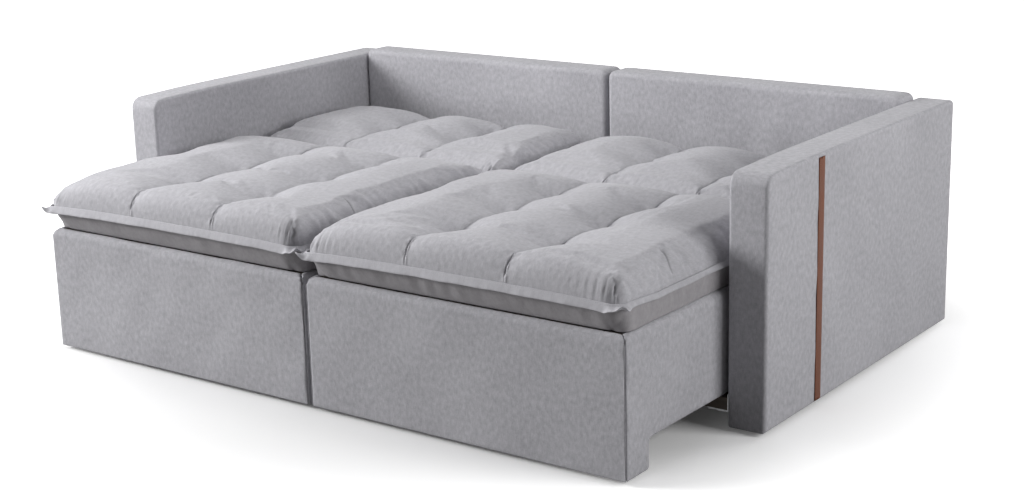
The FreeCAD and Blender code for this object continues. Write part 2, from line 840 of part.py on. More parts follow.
def main():
    os.makedirs("parts", exist_ok=True)
    save("crossbeams", crossbeams())
    save("beam_hangers", beam_hangers())
    save("beam_bolts", beam_bolts())
    save("glides", glides())
    save("shelf_brackets", shelf_brackets())
    for side, word in ((-1, "left"), (1, "right")):
        save(f"arm_cover_{word}", [arm_cover(side)])
        save(f"arm_frame_{word}", ladder_frame(*arm_inside(side), 1))
        save(f"arm_strap_{word}", [arm_strap(side)])
        save(f"back_cover_{word}", [back_cover(side)])
        save(f"back_frame_{word}", ladder_frame(*back_inside(side), 0))
        save(f"seat_tracks_{word}", seat_tracks(side))
        save(f"back_shelf_{word}", [back_shelf(side)])

        save(f"seat_front_panel_{word}", [seat_front_panel(side)])
        save(f"seat_side_panels_{word}", seat_side_panels(side))
        save(f"seat_frame_{word}", seat_frame(side))
        save(f"seat_webbing_{word}", seat_webbing(side))
        save(f"seat_core_{word}", [seat_core(side)])
        save(f"seat_hem_{word}", [seat_hem(side)])
        save(f"seat_pillow_{word}", [pillow(side, seat_stations())])

        save(f"back_core_{word}", [back_core(side)])
        save(f"back_hem_{word}", [back_hem(side)])
        save(f"back_pillow_{word}", [pillow(side, back_stations())])
        save(f"back_board_{word}", [board_block(side, 0), bearer_block(side, 0)])
        save(f"hinge_arms_{word}", [hinge_arm(x) for x in hinge_x(side)])
        save(f"hinge_brackets_{word}", [hinge_bracket(x) for x in hinge_x(side)])
        save(f"hinge_pins_{word}", [hinge_pin(x) for x in hinge_x(side)])

        front = [(x, front_wheel_y(), wheel_radius, wheel_radius, wheel_width) for x in rail_lines(side)]
        rear = [(x, rear_roller_y(), roller_z(), roller_radius, roller_width) for x in rail_lines(side)]
        save(f"front_wheels_{word}", [wheel(*place) for place in front])
        save(f"rear_rollers_{word}", [wheel(*place) for place in rear])
        save(f"wheel_brackets_{word}", [fork(*place) for place in front + rear])


main()
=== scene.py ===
import math
import bmesh
import bpy
import numpy as np
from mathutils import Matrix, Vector


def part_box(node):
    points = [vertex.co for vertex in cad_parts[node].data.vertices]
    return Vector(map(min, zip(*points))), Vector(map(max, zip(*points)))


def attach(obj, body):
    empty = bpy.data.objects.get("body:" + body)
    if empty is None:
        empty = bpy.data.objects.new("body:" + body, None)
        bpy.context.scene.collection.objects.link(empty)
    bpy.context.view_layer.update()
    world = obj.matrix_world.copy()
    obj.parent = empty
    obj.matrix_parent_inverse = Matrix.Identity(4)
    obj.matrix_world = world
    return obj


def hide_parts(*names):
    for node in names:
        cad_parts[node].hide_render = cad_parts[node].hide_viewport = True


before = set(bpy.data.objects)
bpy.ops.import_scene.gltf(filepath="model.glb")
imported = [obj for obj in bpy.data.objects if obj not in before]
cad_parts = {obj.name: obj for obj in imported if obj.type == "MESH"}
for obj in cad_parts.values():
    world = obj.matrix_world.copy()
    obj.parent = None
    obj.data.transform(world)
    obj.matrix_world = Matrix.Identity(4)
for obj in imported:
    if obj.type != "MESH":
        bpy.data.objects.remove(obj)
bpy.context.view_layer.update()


# ----------------------------------------
# The cloth. Every upholstered face is cut from one soft grey chenille linen: fine streaks run
# with the warp, small slubs cross it, and the threads are a little over a millimetre apart.

thread_pitches = (0.0013, 0.0015)
thread_relief = 0.0005


def feed(tree, node, **inputs):
    """Sets a node's inputs, by name or number, to values or to links from other nodes."""
    for name, value in inputs.items():
        socket = node.inputs[int(name[1:]) if name[0] == "_" else name.replace("_", " ")]
        if isinstance(value, bpy.types.NodeSocket):
            tree.links.new(value, socket)
        else:
            socket.default_value = value
    return node


def add(tree, kind, settings=None, **inputs):
    """Puts a node in a tree, with its settings made before its inputs."""
    made = tree.nodes.new(kind)
    for name, value in (settings or {}).items():
        setattr(made, name, value)
    return feed(tree, made, **inputs)


def blended(tree, factor, low, high):
    """A colour that goes from low to high with the factor."""
    return add(tree, "ShaderNodeMix", {"data_type": "RGBA"}, _0=factor, _6=low, _7=high).outputs[2]


def maths(tree, operation, *values):
    """A sum, product or other single step on numbers."""
    inputs = {f"_{k}": value for k, value in enumerate(values)}
    return add(tree, "ShaderNodeMath", {"operation": operation}, **inputs).outputs[0]


def stretched_noise(tree, vector, cells, detail=3.0):
    """Noise with so many cells to the metre on each axis."""
    scaled = add(tree, "ShaderNodeVectorMath", {"operation": "MULTIPLY"}, _0=vector, _1=cells)
    noise = add(tree, "ShaderNodeTexNoise", Vector=scaled.outputs[0], Scale=1.0, Detail=detail,
                Roughness=0.55)
    return noise.outputs["Fac"]


def relief_of(tree, height, strength, distance):
    """The normal that a height gives to a surface."""
    return add(tree, "ShaderNodeBump", Strength=strength, Distance=distance,
               Height=height).outputs[0]


def shader_group(name, inputs):
    """An empty shader group from a vector and named inputs to colour, roughness and height."""
    group = bpy.data.node_groups.new(name, "ShaderNodeTree")
    group.interface.new_socket("Vector", in_out="INPUT", socket_type="NodeSocketVector")
    for label, value in inputs.items():
        kind = "NodeSocketColor" if isinstance(value, tuple) else "NodeSocketFloat"
        group.interface.new_socket(label, in_out="INPUT", socket_type=kind).default_value = value
    for label, kind in (("Color", "Color"), ("Roughness", "Float"), ("Height", "Float")):
        group.interface.new_socket(label, in_out="OUTPUT", socket_type="NodeSocket" + kind)
    return group, group.nodes.new("NodeGroupInput"), group.nodes.new("NodeGroupOutput")


def make_woven_cloth():
    """Warp streaks, slubs, mottling and thread relief. The warp runs up the second axis."""
    group, source, sink = shader_group("woven_cloth", {
        "Light": (0.5, 0.5, 0.5, 1), "Dark": (0.4, 0.4, 0.4, 1), "Streaks": 1.0})
    vector = source.outputs["Vector"]
    warp = stretched_noise(group, vector, (520, 62, 520))
    slub = stretched_noise(group, vector, (210, 420, 210), 2.0)
    mottle = stretched_noise(group, vector, (80, 60, 80), 2.0)
    drift = stretched_noise(group, vector, (3.1, 2.3, 3.1), 1.0)
    tone = 0.5
    for noise, strength in ((warp, 1.3), (slub, 0.8), (mottle, 1.5), (drift, 0.7)):
        tone = maths(group, "MULTIPLY_ADD", maths(group, "SUBTRACT", noise, 0.5), strength, tone)
    tone = maths(group, "SUBTRACT", tone, 0.5)
    tone = maths(group, "MULTIPLY_ADD", tone, source.outputs["Streaks"], 0.5)
    factor = add(group, "ShaderNodeClamp", Value=tone).outputs[0]
    split = add(group, "ShaderNodeSeparateXYZ", Vector=vector)
    turns = [maths(group, "MULTIPLY", split.outputs[axis], 2 * math.pi / pitch)
             for axis, pitch in enumerate(thread_pitches)]
    weave = maths(group, "MULTIPLY", *[maths(group, "SINE", turn) for turn in turns])
    yarn = maths(group, "MULTIPLY_ADD", slub, 0.35, warp)
    feed(group, sink,
         Color=blended(group, factor, source.outputs["Dark"], source.outputs["Light"]),
         Roughness=maths(group, "MULTIPLY_ADD", warp, -0.12, 0.93),
         Height=maths(group, "MULTIPLY_ADD", weave, 0.12, yarn))
    return group


def grey(level, warmth=0.0):
    """A grey at an sRGB level from 0 to 255, a little towards violet, or warmer."""
    channels = (level + 1 + warmth, level, level + 5 - warmth)
    return tuple(((c / 255 + 0.055) / 1.055) ** 2.4 for c in channels) + (1,)


def new_material(name):
    """A new material, its tree and its surface shader."""
    material = bpy.data.materials.new(name)
    material.use_nodes = True
    tree = material.node_tree
    return material, tree, tree.nodes["Principled BSDF"]


woven_cloth = make_woven_cloth()


def cloth_finish(name, light, dark, streaks=1.0):
    """A cloth material on the piece's own UV map, which is laid out in metres."""
    material, tree, surface = new_material(name)
    place = add(tree, "ShaderNodeUVMap", {"uv_map": "lay"})
    cloth = add(tree, "ShaderNodeGroup", {"node_tree": woven_cloth}, Vector=place.outputs[0],
                Light=light, Dark=dark, Streaks=streaks).outputs
    feed(tree, surface, Base_Color=cloth["Color"], Roughness=cloth["Roughness"],
         Normal=relief_of(tree, cloth["Height"], 0.55, thread_relief),
         Sheen_Weight=0.12, Sheen_Roughness=0.45, Specular_IOR_Level=0.25)
    return material


cover_cloth = cloth_finish("cover_cloth", grey(190), grey(160))


# ----------------------------------------
# The pads. Each seat and back pad is a loose-filled pillow of three channels on a firmer lower
# cushion. Its channels are sewn with a felled seam, and buttons of thread pull the seams down.

pad_finish = cloth_finish("pad_cloth", grey(192), grey(166), streaks=0.9)
both_sides = (("left", -1), ("right", 1))
pad_half_width = 0.476
pad_centre = 0.491
plan_corner = 0.045
hem_level = 0.440
seams_of = {-1: (-0.130, 0.180), 1: (-0.139, 0.161)}
side_rolls = {-1: (0.072, 0.026), 1: (0.072, 0.032)}
corner_droop = 0.013
side_droop = 0.014
tuft_pull, tuft_width, tuft_row_width = 0.022, 0.040, 0.060
lobe_power, outer_lobe_power = 2.3, 2.6
filling_unevenness = 0.0018
limit_softness, least_height = 0.006, 0.004
gather_depth, corner_gather_depth = 0.0007, 0.0042
side_fold_depth, tuft_fold_depth = 0.0012, 0.0012
boxing_depth, boxing_width, boxing_bow = 0.0042, 0.0024, 0.010
wall_depth = 0.038
gather_reach, corner_gather_reach, last_gather = 0.026, 0.030, 0.2
tuft_fold_ring, tuft_fold_width, tuft_fold_count = 0.032, 0.020, 5
front_seam_lift, front_draw = 0.016, 0.016
row_seam_dip, row_lobe_dip, row_pull = 0.003, 0.0025, 0.006
soft_corner, soft_corner_width = 0.30, 0.085
side_roll_power, end_roll_power = 2.5, 2.4
tuft_hold = 0.010
seam_hold = 0.006
seam_room = 0.011
seam_depth, ridge_height = 0.0046, 0.0022
stitch_offsets = (-0.0046, 0.0048)
stitch_rise = 0.0002
sheet_pitch = 0.0105
fine_pitch = 0.0042
seam_stations = np.array([-9, -6.5, -4.6, -3.2, -2.1, -1.2, -0.4, 0.5, 1.5, 2.6, 3.7, 4.8, 6.0,
                          7.5, 9.5]) / 1000
boxing_stations = np.arange(-0.0045, 0.0155, 0.0013)
cloth_values = {
    "quality": 6, "mass": 0.3, "tension_stiffness": 18, "compression_stiffness": 18,
    "shear_stiffness": 8, "bending_stiffness": 1.2, "vertex_group_mass": "held",
    "pin_stiffness": 1.0, "use_pressure": True, "uniform_pressure_force": 1.6,
    "shrink_min": -0.008,
}
settling_frames = 16
settling_limit = 0.010

# Each pad: its front and rear ends, the places of its tufts, its front and rear rolls, the
# heights of its lobes, seams and side edges, its boxing seam, and the heights that its folding
# allows near the crease.
seat_pad = {
    "ends": (-0.7795, 0.0695), "tufts": (-0.5715, -0.3595, -0.1475), "rolls": (0.050, 0.030),
    "crown": 0.079, "valley": 0.052, "edges": {-1: (0.054, 0.066), 1: (0.054, 0.057)},
    "boxing": -0.540,
    "limit": ((-0.30, 0.100), (-0.1475, 0.090), (-0.082, 0.078), (-0.013, 0.063), (0.041, 0.044),
              (0.0695, 0.020)),
}
back_pad = {
    "ends": (0.0827, 0.5741), "tufts": (0.3279, 0.4727), "rolls": (0.020, 0.045),
    "crown": 0.079, "valley": 0.056, "edges": {-1: (0.066, 0.068), 1: (0.046, 0.068)},
    "boxing": 0.4575,
    "limit": ((0.0827, 0.006), (0.095, 0.026), (0.115, 0.041), (0.14, 0.050), (0.1625, 0.052),
              (0.1955, 0.052), (0.2165, 0.060), (0.2345, 0.071), (0.2555, 0.082), (0.43, 0.092),
              (0.50, 0.080), (0.5741, 0.066)),
}


def bell(distance, width):
    """One at no distance, and about a third at the width."""
    return np.exp(-(distance / width) ** 2)


def ramp(distance, reach):
    """From nothing to one over the reach, and one beyond it."""
    return np.clip(distance / reach, 0, 1)


def rise(distance, radius, fullness):
    """Share of a padded edge's height at a distance in from its sewn edge."""
    return (1 - (1 - ramp(distance, radius)) ** fullness) ** (1 / fullness)


def stations(length, first_roll, last_roll, pitch):
    """Distances along a panel, closer together where its ends roll over."""
    def end(radius):
        count = max(2, round(1.57 * radius / pitch))
        return radius * (1 - np.cos(np.linspace(0, math.pi / 2, count + 1)))

    first, last = end(first_roll), length - end(last_roll)[::-1]
    count = max(2, round((last[0] - first[-1]) / pitch))
    return np.concatenate([first, np.linspace(first[-1], last[0], count + 1)[1:-1], last])


def plan_stations(pad, side, pitch):
    """Stations across and along a pad's plan."""
    front, rear = pad["ends"]
    return (stations(2 * pad_half_width, *side_rolls[side], pitch) - pad_half_width,
            front + stations(rear - front, *pad["rolls"], pitch))


def with_closer(places, marks, closer, middle=0.0):
    """Stations with closer ones in place of those about each mark."""
    for mark in marks:
        places = places[np.abs(places - mark - middle) > seam_room]
        places = np.concatenate([places, mark + closer])
    return np.sort(places)


def round_corner(x, y, ends):
    """Turns the square corners of a pad's plan into round ones."""
    centre_x = np.sign(x) * (pad_half_width - plan_corner)
    for end, inward in zip(ends, (1, -1)):
        centre_y = end + inward * plan_corner
        dx, dy = x - centre_x, y - centre_y
        inside = (dx * np.sign(x) > 0) & (dy * inward < 0)
        size = np.maximum(np.abs(dx), np.abs(dy))
        length = np.maximum(np.hypot(dx, dy), 1e-9)
        x = np.where(inside, centre_x + dx * size / length, x)
        y = np.where(inside, centre_y + dy * size / length, y)
    return x, y


def ripples(seed, count, shortest, longest):
    """A soft uneven surface: a sum of waves in seeded directions, about one unit high."""
    rng = np.random.default_rng(seed)
    angle = rng.uniform(0, 2 * math.pi, count)
    turn = 2 * math.pi / rng.uniform(shortest, longest, count)
    phase = rng.uniform(0, 2 * math.pi, count)

    def at(x, y=0.0):
        waves = [np.sin((x * math.cos(a) + y * math.sin(a)) * k + p)
                 for a, k, p in zip(angle, turn, phase)]
        return sum(waves) / math.sqrt(count / 2)

    return at


def off_seam(x, seams):
    """Distance to the nearer of a pad's two seams."""
    return np.minimum(np.abs(x - seams[0]), np.abs(x - seams[1]))


def pillow_heights(x, y, pad, side, seed):
    """Height of the filled pillow above its hem: long lobes between seams, dips at the tufts."""
    seams, edges, rolls = seams_of[side], pad["edges"][side], side_rolls[side]
    front, rear = pad["ends"]
    reach = (seams[1] - seams[0]) / 2
    to_seam = off_seam(x, seams)
    between = (x > seams[0]) & (x < seams[1])
    swell = 1 - (1 - ramp(to_seam, reach)) ** np.where(between, lobe_power, outer_lobe_power)
    span = np.where(x < 0, pad_half_width + seams[0], pad_half_width - seams[1]) - reach
    beyond = np.where(between, 0, ramp(to_seam - reach, span))
    row, dip = np.zeros_like(x), np.zeros_like(x)
    for tuft in pad["tufts"]:
        row = np.maximum(row, bell(y - tuft, tuft_row_width))
        for seam in seams:
            away = np.hypot((x - seam) * 0.9, (y - tuft) * 0.9)
            dip += np.exp(-(away / tuft_width) ** 1.2)
    near = np.exp(-np.maximum(y - front - 0.04, 0) / 0.09) if pad is seat_pad else 0
    low = pad["valley"] + front_seam_lift * near - row_seam_dip * row
    high = pad["crown"] + (np.where(x < 0, *edges) - pad["crown"]) * beyond ** 1.4
    high = high - row * (row_lobe_dip + row_pull * np.exp(-to_seam / 0.055))
    uneven = filling_unevenness * ripples(seed, 7, 0.18, 0.45)(x, y)
    height = low + (high - low) * swell - tuft_pull * dip + uneven
    top, soft = np.interp(y, *zip(*pad["limit"])), limit_softness
    height = -soft * np.log(np.exp(-height / soft) + np.exp(-top / soft))
    height = np.maximum(height, least_height)
    side_roll = np.where(x < 0, *rolls) + 0.004 * row
    height *= rise(pad_half_width - np.abs(x), side_roll, side_roll_power)
    if pad is back_pad:
        return height * rise(rear - y, pad["rolls"][1], end_roll_power)
    corner = np.hypot(x + pad_half_width, y - front)
    height *= 1 - soft_corner * bell(corner, soft_corner_width)
    front_roll = pad["rolls"][0] + front_draw * bell(to_seam, 0.035)
    return height * rise(y - front, front_roll, end_roll_power)


def grid_faces(rows, columns):
    """Quads of a sheet of points."""
    i, j = np.meshgrid(np.arange(rows - 1), np.arange(columns - 1), indexing="ij")
    a = (i * columns + j).ravel()
    return np.stack([a, a + 1, a + columns + 1, a + columns], 1)


def closed_sheet(rows, columns):
    """Quads of a sheet of points, and one face that closes it underneath."""
    number = np.arange(rows * columns).reshape(rows, columns)
    rim = [*number[0], *number[1:, -1], *number[-1, -2::-1], *number[-2:0:-1, 0]]
    return [*grid_faces(rows, columns), rim[::-1]]


def lay_lengths(points):
    """The cloth's own coordinates over a sheet of points, in metres."""
    across = np.linalg.norm(np.diff(points, axis=1), axis=2)
    along = np.linalg.norm(np.diff(points, axis=0), axis=2)
    u = np.pad(np.cumsum(across, 1), ((0, 0), (1, 0)))
    v = np.pad(np.cumsum(along, 0), ((1, 0), (0, 0)))
    return np.stack([u - u[:, -1:] / 2, v], 2)


def new_object(name, data):
    """An object in the scene with a mesh, lamp or camera."""
    made = bpy.data.objects.new(name, data)
    bpy.context.scene.collection.objects.link(made)
    return made


def values_of(items, name, width=1, kind=float):
    """One value of every item in a collection, as an array."""
    values = np.zeros(len(items) * width, kind)
    items.foreach_get(name, values)
    return values.reshape(-1, width) if width > 1 else values


def new_piece(name, points, faces, lay, material):
    """A mesh object with a UV map called lay: cloth coordinates of each point or each corner."""
    mesh = bpy.data.meshes.new(name)
    mesh.from_pydata([tuple(p) for p in points], [], [tuple(f) for f in faces])
    lay = np.asarray(lay, np.float32)
    if len(lay) == len(points):
        lay = lay[values_of(mesh.loops, "vertex_index", kind=int)]
    mesh.uv_layers.new(name="lay").data.foreach_set("uv", lay.ravel())
    mesh.polygons.foreach_set("use_smooth", [True] * len(mesh.polygons))
    mesh.validate()
    mesh.update()
    mesh.materials.append(material)
    return new_object(name, mesh)


def set_rim(sheet, value):
    """Gives the border of a sheet one value."""
    sheet[0, :] = sheet[-1, :] = sheet[:, 0] = sheet[:, -1] = value


def held_places(x, y, pad, side):
    """How firmly a sheet is held: rim and tufts fully, the seams and the front edge partly."""
    hold = np.where(off_seam(x, seams_of[side]) < seam_hold, 0.5,
                    0.8 * bell(y - pad["ends"][0], 0.045))
    for tuft in pad["tufts"]:
        for seam in seams_of[side]:
            hold[np.hypot(x - seam, y - tuft) < tuft_hold] = 1
    set_rim(hold, 1)
    return hold


def settle(points, hold):
    """Fills a sheet of cloth from below where it isn't held, as the loose filling does."""
    rows, columns = points.shape[:2]
    sheet = new_piece("settling", points.reshape(-1, 3), grid_faces(rows, columns),
                      np.zeros((rows * columns, 2)), pad_finish)
    group = sheet.vertex_groups.new(name="held")
    for index, weight in enumerate(hold.ravel()):
        if weight > 0:
            group.add([index], float(weight), "REPLACE")
    cloth = sheet.modifiers.new("cloth", "CLOTH")
    for name, value in cloth_values.items():
        setattr(cloth.settings, name, value)
    cloth.settings.effector_weights.gravity = 0
    cloth.point_cache.frame_start = 1
    cloth.point_cache.frame_end = settling_frames
    scene = bpy.context.scene
    for number in range(1, settling_frames + 1):
        scene.frame_set(number)
    filled = sheet.evaluated_get(bpy.context.evaluated_depsgraph_get())
    moved = values_of(filled.data.vertices, "co", 3).reshape(points.shape) - points
    length = np.linalg.norm(moved, axis=2, keepdims=True)
    mesh = sheet.data
    bpy.data.objects.remove(sheet)
    bpy.data.meshes.remove(mesh)
    scene.frame_set(1)
    return points + moved * np.minimum(1, settling_limit / np.maximum(length, 1e-9))


def resampled(points, old, new):
    """Points along the first axis moved from old stations to new ones, on a smooth curve."""
    place = np.interp(new, old, np.arange(len(old)))
    i = np.clip(place.astype(int), 0, len(old) - 2)
    t = (place - i).reshape((-1,) + (1,) * (points.ndim - 1))
    a, b, c, d = [points[np.clip(i + k, 0, len(old) - 1)] for k in (-1, 0, 1, 2)]
    return 0.5 * (2 * b + (c - a) * t + (2 * a - 5 * b + 4 * c - d) * t ** 2
                  + (3 * b - a - 3 * c + d) * t ** 3)


def sheet_normals(points):
    """Upward normals of a sheet of points."""
    normal = np.cross(np.gradient(points, axis=1), np.gradient(points, axis=0))
    return normal / np.maximum(np.linalg.norm(normal, axis=2, keepdims=True), 1e-12)


def droop_at(x, y):
    """How far a seat pad's sewn edge hangs down at its front corners and along its sides."""
    from_front = y - seat_pad["ends"][0]
    left = np.hypot(x + pad_half_width, from_front)
    right = np.hypot(x - pad_half_width, from_front)
    at_side = np.exp(-np.maximum(pad_half_width - np.abs(x), 0) / 0.03)
    along = ramp(from_front, 0.16) * ramp(-y, 0.14)
    return (corner_droop * (np.exp(-left / 0.16) + 0.5 * np.exp(-right / 0.09))
            + side_droop * at_side * along)


def seam_profile(distance):
    """Relief of the felled seam: a sunk line on the left, a sewn ridge on its right."""
    return (ridge_height * bell(distance - 0.0044, 0.0024)
            - seam_depth * bell(distance + 0.0006, 0.0022))


def sewn_relief(x, y, lay, up, pad, side, seed):
    """How far sewing moves the cloth: seams, gathers, side folds, the boxing seam and tufts."""
    seams, (front, rear) = seams_of[side], pad["ends"]
    from_front, from_side = y - front, pad_half_width - np.abs(x)
    relief = seam_profile(x - seams[0]) + seam_profile(x - seams[1])
    relief *= 0.5 + 0.5 * ramp(from_front, 0.07)
    gathers = ripples(seed + 1, 9, 0.007, 0.013)(lay[..., 0], lay[..., 0] * 0.2)
    patches = 0.6 + 0.4 * ripples(seed + 2, 4, 0.12, 0.3)(x, y * 0.3)
    at_corner = bell(np.hypot(from_side, from_front), 0.075)
    low_down = np.exp(-up / (gather_reach + corner_gather_reach * at_corner))
    depth = gather_depth * patches + corner_gather_depth * at_corner
    relief += depth * gathers * low_down * (from_front < last_gather)
    side_folds = ripples(seed + 3, 7, 0.03, 0.09)(lay[..., 1], lay[..., 1] * 0.1)
    at_side = np.exp(-np.maximum(from_side - 0.02, 0) / 0.012) * ramp(from_front, 0.1)
    relief += side_fold_depth * side_folds * at_side
    from_boxing = y - pad["boxing"] - boxing_bow * np.sin(up / 0.03)
    on_wall = ramp(wall_depth - from_side, wall_depth) ** 0.5
    relief -= boxing_depth * bell(from_boxing, boxing_width) * on_wall
    for tuft in pad["tufts"]:
        for seam in seams:
            dx, dy = x - seam, y - tuft
            turn = np.arctan2(dy, dx) * tuft_fold_count + seam * 60 + tuft * 31
            fold = np.sin(turn) * bell(np.hypot(dx, dy) - tuft_fold_ring, tuft_fold_width)
            relief += tuft_fold_depth * fold
    return relief * ramp(np.minimum(np.minimum(from_front, rear - y), from_side), 0.004)


def make_pillow(name, side, pad, seed):
    """One tufted pillow, settled, sewn and closed underneath, and the lines of its stitches."""
    seams = seams_of[side]
    x, y = plan_stations(pad, side, sheet_pitch)
    gx, gy = np.meshgrid(x, y)
    height = pillow_heights(gx, gy, pad, side, seed)
    set_rim(height, 0)
    px, py = round_corner(gx, gy, pad["ends"])
    points = np.stack([px + side * pad_centre, py, height + hem_level], 2)
    points = settle(points, held_places(gx, gy, pad, side))
    fine_x, fine_y = plan_stations(pad, side, fine_pitch)
    fine_x = with_closer(fine_x, seams, seam_stations)
    fine_y = with_closer(fine_y, [pad["boxing"]], boxing_stations, 0.005)
    points = resampled(points, y, fine_y)
    points = resampled(points.transpose(1, 0, 2), x, fine_x).transpose(1, 0, 2)
    gx, gy = np.meshgrid(fine_x, fine_y)
    lay = lay_lengths(points)
    up = np.maximum(points[..., 2] - hem_level, 0)
    relief = sewn_relief(gx, gy, lay, up, pad, side, seed)
    points = points + sheet_normals(points) * relief[..., None]
    if pad is seat_pad:
        points[..., 2] -= droop_at(gx, gy) * np.clip(1 - up / 0.06, 0, 1)
    upward = sheet_normals(points)[2:-2]
    lines = []
    for seam in seams:
        for offset in stitch_offsets:
            j = np.abs(fine_x - seam - offset).argmin()
            lines.append((points[2:-2, j] + upward[:, j] * stitch_rise, upward[:, j]))
    pillow = new_piece(name, points.reshape(-1, 3), closed_sheet(*points.shape[:2]),
                       lay.reshape(-1, 2), pad_finish)
    return pillow, lines


seam_lines = {}
for label, side in both_sides:
    pillow, lines = make_pillow(f"pad_pillow_seat_{label}", side, seat_pad, seed=40 + 10 * side)
    seam_lines[f"seat_{label}"] = lines
    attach(pillow, f"seat_{label}")
    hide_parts(f"seat_pillow_{label}")
    pillow, lines = make_pillow(f"pad_pillow_back_{label}", side, back_pad, seed=80 + 10 * side)
    seam_lines[f"back_pad_{label}"] = lines
    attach(pillow, f"back_pad_{label}")
    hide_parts(f"back_pillow_{label}")


# ----------------------------------------
# The hems. A doubled strip of the same cloth is sewn between each pillow and its lower cushion,
# round three sides. It hangs over the cushion, and stands out as wavy ears at the corners.

hem_finish = cloth_finish("hem_cloth", grey(190), grey(170), streaks=0.7)
hem_half_width = 0.480
hem_corner = 0.032
hem_drop = 0.023
hem_thick = 0.0035
hem_step = 0.0045
hem_corner_steps = 22
ear_width = 0.020
ruffle_length = 0.0230
ruffle_height = 0.0048
hang_angle, ear_angle = 66, 4
hem_tuck = 0.006
outer_gap, inner_gap = 0.0006, 0.0020

# The share of the strip's depth at each row of points, and its thickness there: the sewn line
# pinches it at the third row.
hem_shares = np.array([0.0, 0.08, 0.2, 0.3, 0.45, 0.62, 0.8, 0.93, 1.0])[:, None]
hem_swells = np.array([0.6, 1.0, 0.72, 1.0, 1.05, 1.05, 1.0, 0.85, 0.35])[:, None]


def run_lengths(points):
    """Lengths along a line of points, from its start to each of them."""
    return np.pad(np.cumsum(np.linalg.norm(np.diff(points, axis=0), axis=1)), (1, 0))


def hem_path(front_y, rear_y, open_end):
    """Points along a hem's seam round three sides, their outward directions and lengths, and
    where along it the two ears are."""
    r, w = hem_corner, hem_half_width
    closed_y, open_y = (front_y, rear_y) if open_end == "rear" else (rear_y, front_y)
    inward = 1 if closed_y < open_y else -1
    ys = np.linspace(open_y, closed_y + inward * r, round(abs(open_y - closed_y) / hem_step))
    turn = np.linspace(0, math.pi / 2, hem_corner_steps)[:-1]
    left_x = np.concatenate([np.full(len(ys) - 1, -w), -(w - r) - r * np.cos(turn)])
    left_y = np.concatenate([ys[:-1], closed_y + inward * (r - r * np.sin(turn))])
    across = np.linspace(-(w - r), w - r, round(2 * w / hem_step))
    path = np.column_stack([
        np.concatenate([left_x, across, -left_x[::-1]]),
        np.concatenate([left_y, np.full(len(across), closed_y), left_y[::-1]])])
    along = np.gradient(path, axis=0)
    along /= np.linalg.norm(along, axis=1, keepdims=True)
    outward = np.stack([along[:, 1], -along[:, 0]], 1) * inward
    lengths = run_lengths(path)
    first_ear = len(ys) - 1 + hem_corner_steps // 2
    second_ear = first_ear + len(across) + hem_corner_steps - 2
    return path, outward, lengths, (lengths[first_ear], lengths[second_ear])


def tube_faces(rings, count):
    """Quads between rings of points that follow one another, and a face at each end."""
    i, j = np.meshgrid(np.arange(rings - 1), np.arange(count), indexing="ij")
    a, b, after = i * count, (i + 1) * count, (j + 1) % count
    quads = np.stack([a + j, b + j, b + after, a + after], -1).reshape(-1, 4)
    ring = np.arange(count)
    return [*quads, ring, ring[::-1] + (rings - 1) * count]


def edit_mesh(mesh, change):
    """Makes one change to a mesh's faces or points."""
    work = bmesh.new()
    work.from_mesh(mesh)
    change(work)
    work.to_mesh(mesh)
    work.free()


def face_outwards(piece):
    """Turns every face of a closed mesh to the outside."""
    edit_mesh(piece.data, lambda work: bmesh.ops.recalc_face_normals(work, faces=work.faces))


def make_hem(name, side, front_y, rear_y, open_end, seed):
    """The hanging hem, a folded strip that is wavy along its lower edge, and its sewn line."""
    path, outward, lengths, ears = hem_path(front_y, rear_y, open_end)
    wave = ripples(seed, 6, 0.05, 0.16)(lengths)
    small = ripples(seed + 1, 6, 0.018, 0.035)(lengths)
    near_ear = bell(lengths - ears[0], ear_width) + bell(lengths - ears[1], ear_width)
    on_side = np.abs(outward[:, 0]) * np.clip(1 - near_ear, 0, 1)
    ruffle = ruffle_height * near_ear * np.sin((lengths - ears[0]) / ruffle_length * 2 * math.pi)
    droop = np.radians(hang_angle - (hang_angle - ear_angle) * near_ear * hem_shares)
    reach = hem_drop * (1 + 0.02 * wave + 0.25 * near_ear - 0.35 * on_side) * hem_shares
    flutter = (0.0005 * small + 0.0007 * wave) * (1 + 2 * on_side)
    swing = flutter * hem_shares ** 1.5 + ruffle * hem_shares
    out = reach * np.cos(droop) + swing * np.sin(droop) * 0.8
    down = reach * np.sin(droop) - swing * np.cos(droop)
    d_out, d_down = np.gradient(out, axis=0), np.gradient(down, axis=0)
    size = np.maximum(np.hypot(d_out, d_down), 1e-9)
    n_out, n_down = d_down / size, -d_out / size
    half = hem_swells * hem_thick / 2
    lift = np.column_stack([outward * n_out[2][:, None], -n_down[2]])
    out = np.concatenate([out + n_out * half, (out - n_out * half)[::-1]])
    down = np.concatenate([down + n_down * half, (down - n_down * half)[::-1]])
    steps = np.hypot(np.diff(out, axis=0), np.diff(down, axis=0)).mean(1)
    girth = np.concatenate([[0], np.cumsum(steps)])[:, None]
    gap = np.repeat([outer_gap, inner_gap], len(hem_shares))[:, None]
    x = side * np.maximum(side * (path[:, 0] + outward[:, 0] * out) + pad_centre, gap)
    y = path[:, 1] + outward[:, 1] * out
    z = hem_level + hem_tuck - down - (droop_at(*path.T) if open_end == "rear" else 0)
    rows = np.stack([x, y, z], 2)
    lay = np.stack(np.broadcast_arrays(lengths, girth), 2)
    hem = new_piece(name, rows.transpose(1, 0, 2).reshape(-1, 3),
                    tube_faces(len(path), len(rows)), lay.transpose(1, 0, 2).reshape(-1, 2),
                    hem_finish)
    face_outwards(hem)
    return hem, (rows[2] + lift * stitch_rise, lift)


